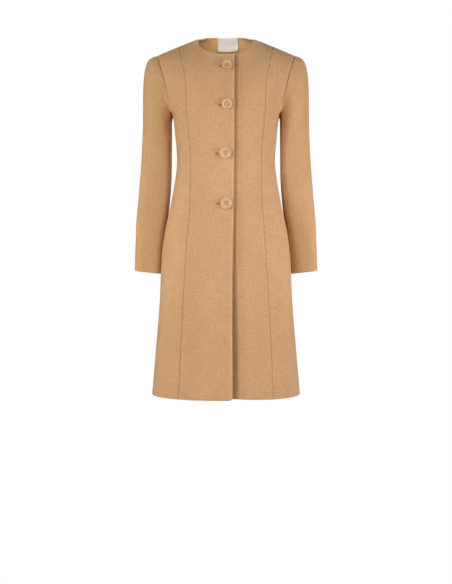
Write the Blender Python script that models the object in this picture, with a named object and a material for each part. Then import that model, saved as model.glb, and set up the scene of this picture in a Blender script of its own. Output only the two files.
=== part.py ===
"""A long collarless wool coat with four buttons, filled out as when it is worn.

Metres, +Z up. The front faces -Y and +X is the wearer's left. The origin lies midway between
the two shoulders, where a wearer carries the coat. Every sewn piece is its own closed wall of
cloth. The body pieces are cut from one lofted form, so their edges meet along the seams.
"""
from collections import namedtuple
from math import pi

import bmesh
import bpy
import numpy as np
from mathutils import Vector

# Cloth
CLOTH = 0.002               # one layer of felted coat wool
FACING = 0.0012             # the facing, cut from the same cloth and pressed thin
LABEL = 0.001               # woven label with its folded edges
SEAM_GAP = 0.0003           # space left between two pieces where they are sewn
ARMHOLE_GAP = 0.0007        # space left where a sleeve is set in
LAID_ON_GAP = 0.0006        # space left under a piece that lies on another
SLOPE_STEP = 0.002          # step for measuring the slope of the cloth, across and up
SAME_PLACE = 1e-6           # two places closer than this are one
SMOOTH_BELOW = pi / 4       # faces that meet at less than this angle are shaded as one

# Neck
NECK_HALF = 0.077           # from the centre to the neck end of a shoulder seam
NECK_Z = 0.0245             # height of the neck end of a shoulder seam
FRONT_NECK_DROP = 0.0490    # depth of the front neck below that
NECK_SQUARE = 2.5           # how square the front neck is, 2 being an ellipse
BACK_NECK_UP = 1.0060       # up at the back neck edge
NECK_BEND = 0.35            # how softly the shoulder line bends at the centre
SHOULDER = 1.070            # up at the shoulder seam
UNDERARM = 0.770            # up at the underarm
SQUEEZE_FROM = 0.80         # rows above this one close up under the neckline
NECK_SEARCH_STEPS = 40      # halvings that find the neck edge on a column

# Columns of squares in the body pieces, as far as the neck end of the shoulder and past it
FRONT_NECK_COLUMNS = 9
FRONT_SHOULDER_COLUMNS = 3
SIDE_FRONT_COLUMNS = 5
BACK_NECK_COLUMNS = 7
BACK_SHOULDER_COLUMNS = 6

# Front closing: the wearer's right front laps over the left one
UNDER_LAP = 0.025           # how far the left front runs past the centre
SET_IN_TOP = 0.0085         # how deep the left front lies under the lap at the neck
SET_IN_HEM = 0.0170         # and at the hem, where the lap hangs free
SET_IN_FREE = 0.55          # up of the lowest button, where the lap begins to hang free
SET_IN_EASE_TOP = 0.026     # width over which it comes back out to the form at the neck
SET_IN_EASE_HEM = 0.044     # and at the hem
SET_IN_FLOOR = 0.004        # how far past the lap's edge it stays that deep
HEM_LIFT = 0.0055           # the left front's hem is this much shorter at the lap

# Back neck facing and label
FACING_ROWS_FROM = 0.95     # the facing starts at the first row above this
FACING_PAST_NECK = 2        # columns of the back that it covers past the neck end
LABEL_WIDTH = 0.0585
LABEL_LENGTH = 0.039
LABEL_SHIFT = 0.0055        # the label is sewn this far off the centre, to the left
LABEL_DROP = 0.0008         # top of the label below the neck edge

# Sleeves
CAP_ROWS = 8                # rings between the armhole and the upper arm
ARM_ROWS = 7                # rings between the upper arm and the cuff
CAP_SLOPE = 0.068           # share of the sleeve head that falls evenly on from the shoulder
CAP_SQUARE_TOP = 4.5        # squareness of the sleeve head at the shoulder
CAP_SQUARE_LOW = 2.2        # and at the underarm
FRONT_SEAM_ANGLE = 160      # place of the seams round the sleeve, from the outer side by the front
BACK_SEAM_ANGLE = 248

# Buttons
BUTTON_SIDES = 18
BUTTON_HOLES = 4
BUTTON_HOLE_RADIUS = 0.0010
BUTTON_HOLE_SPREAD = 0.0026     # from the button's centre to a hole's centre
BUTTON_HOLE_SIDES = 8
BUTTON_HOLE_DEPTH = 0.0016
SEAT_SEARCH = 0.014             # how far out the search for the cloth under a button starts

# One row for each level section of the body, from the hem up. z and y are given at the centre
# and at the side or armhole edge. Turn is the angle from the centre to that edge.
Section = namedtuple("Section", "up z_centre z_side half_width y_centre y_side turn roundness")
FRONT = [
    Section(0.000, -0.968, -0.966, 0.2078, -0.165, 0.000, 90, 2.5),     # hem
    Section(0.118, -0.850, -0.850, 0.1976, -0.157, 0.000, 90, 2.5),     # low thigh
    Section(0.268, -0.700, -0.700, 0.1853, -0.147, 0.000, 90, 2.5),     # thigh
    Section(0.368, -0.600, -0.600, 0.1808, -0.137, 0.000, 90, 2.5),     # level of the cuffs
    Section(0.438, -0.530, -0.530, 0.1732, -0.127, 0.000, 90, 2.5),     # hip
    Section(0.538, -0.430, -0.430, 0.1525, -0.112, 0.000, 90, 2.5),     # high hip
    Section(0.653, -0.315, -0.315, 0.1370, -0.103, 0.000, 90, 2.6),     # waist
    Section(0.712, -0.256, -0.256, 0.1412, -0.1125, 0.000, 90, 2.6),    # under the bust
    Section(0.770, -0.198, -0.198, 0.1480, -0.1195, 0.000, 90, 2.6),    # underarm
    Section(0.790, -0.178, -0.178, 0.1540, -0.120, -0.042, 60, 2.7),    # low armhole
    Section(0.835, -0.134, -0.134, 0.1625, -0.115, -0.054, 59, 2.5),
    Section(0.880, -0.091, -0.095, 0.1710, -0.1055, -0.055, 57, 2.3),   # middle of the armhole
    Section(0.964, -0.018, -0.051, 0.1840, -0.072, -0.037, 55, 2.3),    # collarbone
    Section(1.026, 0.018, -0.031, 0.1900, -0.034, -0.018, 55, 2.3),     # top of the shoulder
    Section(1.070, 0.0406, -0.0225, 0.1930, 0.006, 0.006, 55, 2.3),     # shoulder seam
]
BACK = [
    Section(0.000, -0.968, -0.966, 0.2078, 0.170, 0.000, 90, 2.1),
    Section(0.118, -0.850, -0.850, 0.1976, 0.160, 0.000, 90, 2.1),
    Section(0.268, -0.700, -0.700, 0.1853, 0.150, 0.000, 90, 2.1),
    Section(0.368, -0.600, -0.600, 0.1808, 0.143, 0.000, 90, 2.1),
    Section(0.438, -0.530, -0.530, 0.1732, 0.137, 0.000, 90, 2.1),
    Section(0.538, -0.430, -0.430, 0.1525, 0.118, 0.000, 90, 2.1),
    Section(0.653, -0.315, -0.315, 0.1370, 0.092, 0.000, 90, 2.1),
    Section(0.712, -0.256, -0.256, 0.1412, 0.099, 0.000, 90, 2.2),
    Section(0.770, -0.198, -0.198, 0.1480, 0.108, 0.000, 90, 2.2),
    Section(0.790, -0.178, -0.178, 0.1550, 0.1105, 0.040, 60, 2.2),
    Section(0.835, -0.134, -0.134, 0.1640, 0.114, 0.053, 59, 2.2),
    Section(0.880, -0.090, -0.092, 0.1730, 0.112, 0.059, 57, 2.2),
    Section(0.964, -0.010, -0.045, 0.1860, 0.088, 0.045, 55, 2.2),
    Section(1.026, 0.044, -0.030, 0.1900, 0.056, 0.030, 55, 2.2),
    Section(1.070, 0.0406, -0.0225, 0.1930, 0.006, 0.006, 55, 2.3),
]
BODY = {"front": FRONT, "back": BACK}
OTHER = {"front": "back", "back": "front"}
OUTWARD = {"front": 1, "back": -1}

# The princess seam between a front and its side front: distance from the centre, by height.
SeamPoint = namedtuple("SeamPoint", "up x")
PRINCESS = [
    SeamPoint(0.000, 0.1290),
    SeamPoint(0.250, 0.1173),
    SeamPoint(0.428, 0.1067),
    SeamPoint(0.538, 0.0988),
    SeamPoint(0.653, 0.0971),
    SeamPoint(0.718, 0.1018),
    SeamPoint(0.770, 0.1063),
    SeamPoint(0.865, 0.1107),
    SeamPoint(0.964, 0.1233),
    SeamPoint(1.070, 0.1316),
]

# The edge of the lap, as far past the centre. It swings back a little below the buttons.
LAP = [
    SeamPoint(0.000, 0.0178),
    SeamPoint(0.260, 0.0170),
    SeamPoint(0.400, 0.0184),
    SeamPoint(0.532, 0.0212),
    SeamPoint(0.763, 0.0228),
    SeamPoint(1.070, 0.0240),
]

# Heights of the rows of points in every body piece. The rows from the underarm up also give
# the points round the armhole to which the sleeve is sewn.
SKIRT_ROWS = [0.0, 0.11, 0.22, 0.32, 0.39, 0.45, 0.51, 0.57, 0.62, 0.67, 0.70, 0.735]
ARMHOLE_ROWS = [
    UNDERARM, 0.776, 0.783, 0.790, 0.812, 0.838, 0.865, 0.892, 0.918, 0.941, 0.964, 0.985, 1.006,
    1.026, 1.048, SHOULDER,
]

# One row for each level of the arm, by its distance down from the origin. Tilt is how steeply
# a ring rises to its outer side. Roundness is that of its front half, 2 being an ellipse.
ARM_BACK_ROUNDNESS = 2.3
Ring = namedtuple("Ring", "down x_centre y_centre half_width half_depth tilt roundness")
ARM = [
    Ring(0.225, 0.1919, 0.006, 0.0408, 0.054, 0.00, 2.5),      # upper arm
    Ring(0.300, 0.1936, 0.009, 0.0419, 0.050, 0.02, 4.0),
    Ring(0.350, 0.1956, 0.014, 0.0433, 0.049, 0.03, 4.5),
    Ring(0.400, 0.1992, 0.022, 0.0442, 0.048, 0.04, 4.5),      # elbow
    Ring(0.450, 0.2043, 0.032, 0.0443, 0.047, 0.06, 4.2),
    Ring(0.500, 0.2107, 0.042, 0.0427, 0.046, 0.07, 3.8),
    Ring(0.540, 0.2141, 0.048, 0.0411, 0.045, 0.08, 3.6),
    Ring(0.600, 0.2181, 0.053, 0.0396, 0.044, 0.10, 3.4),
    Ring(0.631, 0.2198, 0.054, 0.0388, 0.043, 0.11, 3.4),      # cuff
]

# Turned outline of a button: distance from its axis, and height above the cloth.
ProfilePoint = namedtuple("ProfilePoint", "radius height")
BUTTON_PROFILE = [
    ProfilePoint(0.0000, 0.0003),       # foot of the thread shank
    ProfilePoint(0.0014, 0.0003),
    ProfilePoint(0.0014, 0.0021),       # underside
    ProfilePoint(0.0119, 0.0021),
    ProfilePoint(0.0144, 0.0028),       # rounded edge
    ProfilePoint(0.0150, 0.0039),
    ProfilePoint(0.0143, 0.0050),
    ProfilePoint(0.0124, 0.0055),       # broad raised rim
    ProfilePoint(0.0101, 0.0053),
    ProfilePoint(0.0087, 0.0045),       # dished middle
    ProfilePoint(0.0000, 0.0042),
]

# Where each button is sewn on, top to bottom: up from the hem, and to the left of the centre.
ButtonPlace = namedtuple("ButtonPlace", "up x")
BUTTONS = [
    ButtonPlace(0.916, 0.0019),
    ButtonPlace(0.803, 0.0019),
    ButtonPlace(0.671, -0.0027),
    ButtonPlace(0.532, 0.0005),
]

# Finishes: display colour in sRGB, and roughness.
Finish = namedtuple("Finish", "name red green blue roughness")
WOOL = Finish("camel_wool", 203, 158, 115, 0.92)
FACING_WOOL = Finish("facing_wool", 186, 138, 92, 0.92)
LABEL_WEAVE = Finish("label_weave", 226, 214, 202, 0.6)
RESIN = Finish("button_resin", 196, 155, 115, 0.38)


def linear(channel):
    """A display colour channel from 0 to 255 as linear light."""
    share = channel / 255
    if share <= 0.04045:
        return share / 12.92
    return ((share + 0.055) / 1.055) ** 2.4


def make_material(finish):
    material = bpy.data.materials.new(finish.name)
    material.use_nodes = True
    colour = [linear(channel) for channel in (finish.red, finish.green, finish.blue)]
    shader = material.node_tree.nodes["Principled BSDF"]
    shader.inputs["Base Color"].default_value = (*colour, 1)
    shader.inputs["Roughness"].default_value = finish.roughness
    shader.inputs["Metallic"].default_value = 0
    material.diffuse_color = (*colour, 1)
    return material


def smooth_through(knots, values, at):
    """A smooth curve through the knots that never overshoots between two of them."""
    steps = np.diff(knots)
    slopes = np.diff(values) / steps
    tangents = np.zeros(len(knots))
    tangents[0] = slopes[0]
    tangents[-1] = slopes[-1]
    for i in range(1, len(slopes)):
        if slopes[i - 1] * slopes[i] > 0:
            before = 2 * steps[i] + steps[i - 1]
            after = steps[i] + 2 * steps[i - 1]
            tangents[i] = (before + after) / (before / slopes[i - 1] + after / slopes[i])
    span = np.clip(np.searchsorted(knots, at, side="right") - 1, 0, len(steps) - 1)
    step = steps[span]
    t = (at - knots[span]) / step
    rise = values[span + 1] - values[span]
    start = step * tangents[span] * t * (1 - t) ** 2
    end = step * tangents[span + 1] * t ** 2 * (1 - t)
    return values[span] + start + rise * t ** 2 * (3 - 2 * t) - end


def row_at(table, at):
    """A table's row at any value of its first column, or an array of them."""
    columns = np.array(table, dtype=float).T
    return type(table[0])(*[smooth_through(columns[0], column, at) for column in columns])


def ease(share):
    """0 to 1 with a soft start and end."""
    t = np.clip(share, 0, 1)
    return t * t * (3 - 2 * t)


def reach(angle, roundness):
    """Radius of a rounded square of half width 1."""
    sine = np.abs(np.sin(angle)) ** roundness
    cosine = np.abs(np.cos(angle)) ** roundness
    return (sine + cosine) ** (-1 / roundness)


def section_point(side, across, up):
    section = row_at(BODY[side], up)
    turn = np.radians(section.turn)
    angle = across * turn
    edge_x = reach(turn, section.roundness) * np.sin(turn)
    edge_y = reach(turn, section.roundness) * np.cos(turn)
    x_share = reach(angle, section.roundness) * np.sin(angle) / edge_x
    y_share = (reach(angle, section.roundness) * np.cos(angle) - edge_y) / (1 - edge_y)
    z_share = (np.hypot(x_share, NECK_BEND) - NECK_BEND) / (np.hypot(1, NECK_BEND) - NECK_BEND)
    x = section.half_width * x_share
    y = section.y_side + (section.y_centre - section.y_side) * y_share
    z = section.z_centre + (section.z_side - section.z_centre) * z_share
    return np.stack([x, y, z], axis=-1)


def cloth_point(side, across, up):
    """The body's outer face. Across runs from -1 at the right edge to 1 at the left edge, up
    from the hem; past the shoulder seam the cloth runs on down the other side."""
    near = section_point(side, across, np.minimum(up, SHOULDER))
    far = section_point(OTHER[side], across, np.minimum(2 * SHOULDER - up, SHOULDER))
    return np.where((up > SHOULDER)[..., None], far, near)


def slopes_at(side, across, up):
    """How the outer face moves for a step across and for a step up."""
    right = cloth_point(side, across + SLOPE_STEP, up)
    left = cloth_point(side, across - SLOPE_STEP, up)
    above = cloth_point(side, across, up + SLOPE_STEP)
    below = cloth_point(side, across, up - SLOPE_STEP)
    return (right - left) / (2 * SLOPE_STEP), (above - below) / (2 * SLOPE_STEP)


def unit(vectors):
    return vectors / np.linalg.norm(vectors, axis=-1, keepdims=True)


def cloth_normal(side, across, up):
    sideways, upwards = slopes_at(side, across, up)
    return OUTWARD[side] * unit(np.cross(sideways, upwards))


def across_at(side, x, up):
    """The place across a section that lies at a distance x from the centre."""
    section = row_at(BODY[side], up)
    turn = np.radians(section.turn)
    share = np.abs(x) / section.half_width * reach(turn, section.roundness) * np.sin(turn)
    share = np.maximum(share, SAME_PLACE)
    cotangent = (share ** -section.roundness - 1) ** (1 / section.roundness)
    return np.sign(x) * np.arctan2(1, cotangent) / turn


def trimmed(side, across, up, way):
    """A seam line moved half a seam gap into its piece, to the left (1) or the right (-1)."""
    sideways, _ = slopes_at(side, across, up)
    return across + way * SEAM_GAP / 2 / np.linalg.norm(sideways, axis=-1)


def front_neck_tops(across_of, shares):
    """How far up the columns of a front run to the neck edge, a squarish round seen from in front."""
    low = np.full(len(shares), SQUEEZE_FROM)
    high = np.full(len(shares), SHOULDER)
    for _ in range(NECK_SEARCH_STEPS):
        middle = (low + high) / 2
        x, _, z = cloth_point("front", across_of(shares, middle), middle).T
        share = np.clip(1 - np.abs(x / NECK_HALF) ** NECK_SQUARE, 0, 1) ** (1 / NECK_SQUARE)
        edge = NECK_Z - FRONT_NECK_DROP * share
        low = np.where(z < edge, middle, low)
        high = np.where(z < edge, high, middle)
    return low


def back_neck_tops(shares, neck_share):
    """How far up the columns of a back run to the neck edge, a quarter of an ellipse."""
    share = np.clip(shares / neck_share, 0, 1)
    return SHOULDER - (SHOULDER - BACK_NECK_UP) * np.sqrt(1 - share ** 2)


def column_tops(side, across_of, shares, neck_share):
    """How far up each column of a piece runs: to the neck edge, or to the shoulder seam."""
    seam = np.full(len(shares), SHOULDER)
    _, upwards = slopes_at(side, across_of(shares, seam), seam)
    seam -= SEAM_GAP / 2 / np.linalg.norm(upwards, axis=-1)
    if neck_share == 0:
        return seam
    if side == "front":
        neck = front_neck_tops(across_of, shares)
    else:
        neck = back_neck_tops(shares, neck_share)
    return np.where(shares < neck_share - SAME_PLACE, neck, seam)


def panel_grid(side, across_of, shares, neck_share, hem):
    """Across and up at each row and column of a body piece, as two arrays."""
    tops = column_tops(side, across_of, shares, neck_share)
    rows = np.array(SKIRT_ROWS + ARMHOLE_ROWS)[:, None]
    squeeze = (tops - SQUEEZE_FROM) / (SHOULDER - SQUEEZE_FROM)
    squeezed = SQUEEZE_FROM + (rows - SQUEEZE_FROM) * squeeze
    up = np.maximum(np.where(rows > SQUEEZE_FROM, squeezed, rows), hem)
    return across_of(shares[None, :], up), up


def layer(side, across, up, depth):
    """The points of the outer face moved in by a depth."""
    return cloth_point(side, across, up) - np.asarray(depth)[..., None] * cloth_normal(side, across, up)


def mirrored(points):
    """The same piece on the wearer's right."""
    return points * np.array([-1, 1, 1])


def finish_mesh(mesh, material):
    mesh.shade_smooth()
    mesh.set_sharp_from_angle(angle=SMOOTH_BELOW)
    mesh.materials.append(material)


def add_object(name, mesh):
    piece = bpy.data.objects.new(name, mesh)
    bpy.context.collection.objects.link(piece)
    return piece


def wall(name, outer, inner, material, middle=0):
    """A closed sheet of cloth between two matching grids of points, with its rim. Its squares
    are split along the diagonal that runs up and away from the middle column."""
    rows, columns = outer.shape[:2]
    form = bmesh.new()
    faces_of_cloth = []
    for grid in (outer, inner):
        faces_of_cloth.append([[form.verts.new(point) for point in row] for row in grid])
    for i in range(rows - 1):
        for j in range(columns - 1):
            near, far = (j, j + 1) if j >= middle else (j + 1, j)
            for face in faces_of_cloth:
                form.faces.new((face[i][near], face[i][far], face[i + 1][far], face[i + 1][near]))
    border = [(0, j) for j in range(columns)]
    border += [(i, columns - 1) for i in range(1, rows)]
    border += [(rows - 1, j) for j in range(columns - 2, -1, -1)]
    border += [(i, 0) for i in range(rows - 2, 0, -1)]
    out, under = faces_of_cloth
    for (i, j), (k, l) in zip(border, border[1:] + border[:1]):
        form.faces.new((out[i][j], out[k][l], under[k][l], under[i][j]))
    bmesh.ops.recalc_face_normals(form, faces=form.faces)
    bmesh.ops.triangulate(form, faces=form.faces, quad_method="FIXED")
    mesh = bpy.data.meshes.new(name)
    form.to_mesh(mesh)
    form.free()
    finish_mesh(mesh, material)
    return add_object(name, mesh)


def princess_across(up):
    return across_at("front", row_at(PRINCESS, up).x, up)


def closing_up(start, end, count):
    """Places from start to end, closer and closer together."""
    return start + (end - start) * np.sin(np.linspace(0, pi / 2, count + 1))


def neck_and_shoulder(neck_share, neck_columns, shoulder_columns):
    """Places of the columns of a piece that has both a neck edge and a shoulder seam."""
    shoulder = np.linspace(neck_share, 1, shoulder_columns + 1)
    return np.append(closing_up(0, neck_share, neck_columns), shoulder[1:])


def make_front(name, edge_x, depth, hem_lift, turned, material):
    """A centre front from its front edge, past the centre, to the princess seam."""
    def across_of(share, up):
        start = across_at("front", -edge_x(up), up)
        seam = princess_across(up)
        end = trimmed("front", seam, up, -1)
        return start + (end - start) * share

    top = np.array(SHOULDER)
    start, end = across_of(0, top), across_of(1, top)
    neck_share = (across_at("front", NECK_HALF, top) - start) / (end - start)
    shares = neck_and_shoulder(neck_share, FRONT_NECK_COLUMNS, FRONT_SHOULDER_COLUMNS)
    across, up = panel_grid("front", across_of, shares, neck_share, hem_lift * (1 - shares))
    set_in = depth(cloth_point("front", across, up)[..., 0], up)
    outer = layer("front", across, up, set_in)
    inner = layer("front", across, up, set_in + CLOTH)
    if turned:
        outer, inner = mirrored(outer), mirrored(inner)
    return wall(name, outer, inner, material)


def lap_edge(up):
    return row_at(LAP, up).x


def under_lap_edge(up):
    return np.full_like(up, UNDER_LAP)


def no_depth(x, up):
    return np.zeros_like(x)


def under_lap_depth(x, up):
    """The left front is set in under the lap, most where the lap hangs free at the hem."""
    free = ease((SET_IN_FREE - up) / SET_IN_FREE)
    deepest = SET_IN_TOP + (SET_IN_HEM - SET_IN_TOP) * free
    width = SET_IN_EASE_TOP + (SET_IN_EASE_HEM - SET_IN_EASE_TOP) * free
    past_floor = x - lap_edge(up) - SET_IN_FLOOR
    return deepest * (1 - ease(past_floor / width))


def make_pair(name, side, across_of, shares, neck_share, material):
    """A body piece for the wearer's left and its mirror image for the right."""
    across, up = panel_grid(side, across_of, shares, neck_share, hem=np.zeros(len(shares)))
    outer = layer(side, across, up, np.zeros_like(up))
    inner = layer(side, across, up, np.full_like(up, CLOTH))
    wall(name + "_left", outer, inner, material)
    wall(name + "_right", mirrored(outer), mirrored(inner), material)


def side_front_across(share, up):
    start = trimmed("front", princess_across(up), up, 1)
    end = trimmed("front", np.ones_like(up), up, -1)
    return start + (end - start) * share


def back_across(share, up):
    start = trimmed("back", np.zeros_like(up), up, 1)
    end = trimmed("back", np.ones_like(up), up, -1)
    return start + (end - start) * share


def facing_grid(shares, neck_share):
    """The top rows of both backs as one grid, from the right shoulder to the left one."""
    last = np.searchsorted(shares, neck_share - SAME_PLACE) + FACING_PAST_NECK
    _, up = panel_grid("back", back_across, shares, neck_share, hem=np.zeros(len(shares)))
    first_row = np.argmax(up[:, -1] > FACING_ROWS_FROM)
    up = up[first_row:, :last + 1]
    across = np.broadcast_to(shares[:last + 1], up.shape)
    both_across = np.concatenate([-across[:, :0:-1], across], axis=1)
    both_up = np.concatenate([up[:, :0:-1], up], axis=1)
    return both_across, both_up


def ends_and_between(start, end, marks):
    """Places along rising marks, as fractions of their numbers: two ends and all marks between."""
    between = marks[(marks > start) & (marks < end)]
    return np.interp(np.concatenate([[start], between, [end]]), marks, np.arange(len(marks)))


def rows_at(grid, places):
    """Rows of a grid of points at whole and fractional places."""
    low = np.floor(places).astype(int)
    high = np.ceil(places).astype(int)
    share = (places - low)[:, None, None]
    return grid[low] * (1 - share) + grid[high] * share


def make_facing_and_label(shares, neck_share, facing_material, label_material):
    across, up = facing_grid(shares, neck_share)
    start = np.full_like(up, CLOTH + LAID_ON_GAP)
    outer = layer("back", across, up, start)
    inner = layer("back", across, up, start + FACING)
    middle = up.shape[1] // 2
    wall("neck_facing", outer, inner, facing_material, middle)

    steps = np.linalg.norm(np.diff(inner[:, middle], axis=0), axis=1)
    heights = np.append(0, np.cumsum(steps))
    top = heights[-1] - LABEL_DROP
    row_places = ends_and_between(top - LABEL_LENGTH, top, heights)
    left = LABEL_SHIFT - LABEL_WIDTH / 2
    column_places = ends_and_between(left, left + LABEL_WIDTH, inner[len(heights) // 2, :, 0])
    label = []
    for lift in (LAID_ON_GAP, LAID_ON_GAP + LABEL):
        lifted = inner + lift * unit(inner - outer)
        label.append(rows_at(rows_at(lifted, row_places).swapaxes(0, 1), column_places).swapaxes(0, 1))
    wall("label", *label, label_material, np.argmin(np.abs(column_places - middle)))


def armhole_loop():
    """Points round the left armhole from the shoulder by the front, and each one's angle."""
    ups = np.array(ARMHOLE_ROWS)
    edges = np.ones_like(ups)
    front = cloth_point("front", edges, ups)[::-1]
    back = cloth_point("back", edges, ups)
    angles = []
    for edge, start in ((front, 0), (back, pi)):
        lengths = np.append(0, np.cumsum(np.linalg.norm(np.diff(edge, axis=0), axis=1)))
        angles.append(start + pi * lengths / lengths[-1])
    loop = np.concatenate([front, back[1:-1]])
    return loop, np.concatenate([angles[0], angles[1][1:-1]])


def ring_points(down, angles):
    ring = row_at(ARM, np.full_like(angles, down))
    radius = reach(angles, np.where(np.sin(angles) > 0, ring.roundness, ARM_BACK_ROUNDNESS))
    x = ring.half_width * radius * np.cos(angles)
    y = ring.half_depth * radius * np.sin(angles)
    return np.stack([ring.x_centre + x, ring.y_centre - y, ring.tilt * x - ring.down], axis=-1)


def sleeve_grids():
    """The whole left sleeve as rings of points, its outer and its inner face."""
    loop, angles = armhole_loop()
    loop = loop + np.array([ARMHOLE_GAP, 0, 0])
    upper_arm = ring_points(ARM[0].down, angles)
    by_shoulder = np.maximum(np.cos(angles), 0) ** 2
    square = CAP_SQUARE_LOW + (CAP_SQUARE_TOP - CAP_SQUARE_LOW) * by_shoulder
    slope = CAP_SLOPE * by_shoulder
    rings = []
    for turn in np.linspace(0, pi / 2, CAP_ROWS + 1):
        outwards = np.sin(turn) ** (2 / square)
        downwards = 1 - np.maximum(np.cos(turn), 0) ** (2 / square)
        falls = slope * outwards + (1 - slope) * downwards
        shares = np.stack([outwards, outwards, falls], axis=-1)
        rings.append(loop + (upper_arm - loop) * shares)
    for down in np.linspace(ARM[0].down, ARM[-1].down, ARM_ROWS + 1)[1:]:
        rings.append(ring_points(down, angles))
    outer = np.array(rings)
    around = np.roll(outer, -1, axis=1) - np.roll(outer, 1, axis=1)
    normals = unit(np.cross(around, np.gradient(outer, axis=0)))
    return outer, outer - CLOTH * normals, angles


def seam_trimmed(grid):
    """The first and last columns moved half a seam gap into their piece."""
    grid = grid.copy()
    grid[:, 0] += SEAM_GAP / 2 * unit(grid[:, 1] - grid[:, 0])
    grid[:, -1] += SEAM_GAP / 2 * unit(grid[:, -2] - grid[:, -1])
    return grid


def make_sleeves(material):
    outer, inner, angles = sleeve_grids()
    count = len(angles)
    front_seam = np.argmin(np.abs(np.degrees(angles) - FRONT_SEAM_ANGLE))
    back_seam = np.argmin(np.abs(np.degrees(angles) - BACK_SEAM_ANGLE))
    columns = {
        "sleeve_upper": np.arange(back_seam - count, front_seam + 1),
        "sleeve_under": np.arange(front_seam, back_seam + 1),
    }
    for name, column in columns.items():
        out = seam_trimmed(outer[:, column])
        under = seam_trimmed(inner[:, column])
        wall(name + "_left", out, under, material)
        wall(name + "_right", mirrored(out), mirrored(under), material)


def button_disc():
    """The turned button, with its face to +Z, before the holes are sunk."""
    form = bmesh.new()
    points = [form.verts.new((point.radius, 0, point.height)) for point in BUTTON_PROFILE]
    edges = [form.edges.new(pair) for pair in zip(points, points[1:])]
    bmesh.ops.spin(form, geom=points + edges, cent=(0, 0, 0), axis=(0, 0, 1), angle=2 * pi,
                   steps=BUTTON_SIDES, use_merge=True)
    bmesh.ops.remove_doubles(form, verts=form.verts, dist=SAME_PLACE)
    bmesh.ops.recalc_face_normals(form, faces=form.faces)
    mesh = bpy.data.meshes.new("button")
    form.to_mesh(mesh)
    form.free()
    return mesh


def hole_cutter():
    """Pegs that sink the sewing holes into the dished middle."""
    form = bmesh.new()
    dish = BUTTON_PROFILE[-1].height
    for number in range(BUTTON_HOLES):
        angle = (number + 0.5) * 2 * pi / BUTTON_HOLES
        centre = BUTTON_HOLE_SPREAD * Vector((np.cos(angle), np.sin(angle), 0))
        made = bmesh.ops.create_cone(form, cap_ends=True, segments=BUTTON_HOLE_SIDES,
                                     radius1=BUTTON_HOLE_RADIUS, radius2=BUTTON_HOLE_RADIUS,
                                     depth=2 * BUTTON_HOLE_DEPTH)
        bmesh.ops.translate(form, verts=made["verts"], vec=centre + Vector((0, 0, dish)))
    mesh = bpy.data.meshes.new("button_hole_cutter")
    form.to_mesh(mesh)
    form.free()
    return add_object("button_hole_cutter", mesh)


def button_mesh():
    """The button with its holes, made once for all of them."""
    blank = add_object("button_blank", button_disc())
    cutter = hole_cutter()
    cut = blank.modifiers.new("holes", "BOOLEAN")
    cut.operation = "DIFFERENCE"
    cut.solver = "EXACT"
    cut.object = cutter
    evaluated = blank.evaluated_get(bpy.context.evaluated_depsgraph_get())
    mesh = bpy.data.meshes.new_from_object(evaluated)
    for helper in (blank, cutter):
        bpy.data.objects.remove(helper)
    mesh.name = "button"
    return mesh


def make_buttons(front, material):
    """Each button stands on the lapped front, square to the cloth under it."""
    mesh = button_mesh()
    finish_mesh(mesh, material)
    bpy.context.view_layer.update()
    for number, sewn in enumerate(BUTTONS, start=1):
        up = np.array([sewn.up])
        across = across_at("front", np.array([sewn.x]), up)
        normal = Vector(cloth_normal("front", across, up)[0])
        before = Vector(cloth_point("front", across, up)[0]) + SEAT_SEARCH * normal
        _, place, _, _ = front.ray_cast(before, -normal)
        button = add_object(f"button_{number}", mesh)
        button.location = place
        button.rotation_euler = normal.to_track_quat("Z", "Y").to_euler()


for leftover in list(bpy.data.objects):
    bpy.data.objects.remove(leftover)

wool = make_material(WOOL)
front_right = make_front("front_right", lap_edge, no_depth, hem_lift=0, turned=True, material=wool)
make_front("front_left", under_lap_edge, under_lap_depth, hem_lift=HEM_LIFT, turned=False, material=wool)
side_front_shares = np.linspace(0, 1, SIDE_FRONT_COLUMNS + 1)
make_pair("side_front", "front", side_front_across, side_front_shares, neck_share=0, material=wool)

back_neck_share = across_at("back", NECK_HALF, np.array(SHOULDER))
back_shares = neck_and_shoulder(back_neck_share, BACK_NECK_COLUMNS, BACK_SHOULDER_COLUMNS)
make_pair("back", "back", back_across, back_shares, back_neck_share, wool)

make_sleeves(wool)
make_facing_and_label(back_shares, back_neck_share, make_material(FACING_WOOL),
                      make_material(LABEL_WEAVE))
make_buttons(front_right, make_material(RESIN))

coat = add_object("coat", None)
for piece in bpy.data.objects:
    if piece != coat:
        piece.parent = coat
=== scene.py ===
"""The long wool coat as it looks: its cloth, label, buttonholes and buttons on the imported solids.

Metres, +Z up. The front faces -Y and +X is the wearer's left. The sewn pieces follow the same
lofted form as their solids, in finer steps, with their seams, turned edges and creases.
"""
from collections import namedtuple
from math import cos, pi, radians, sin

import bmesh
import bpy
import numpy as np
from mathutils import Matrix, Vector


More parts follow.
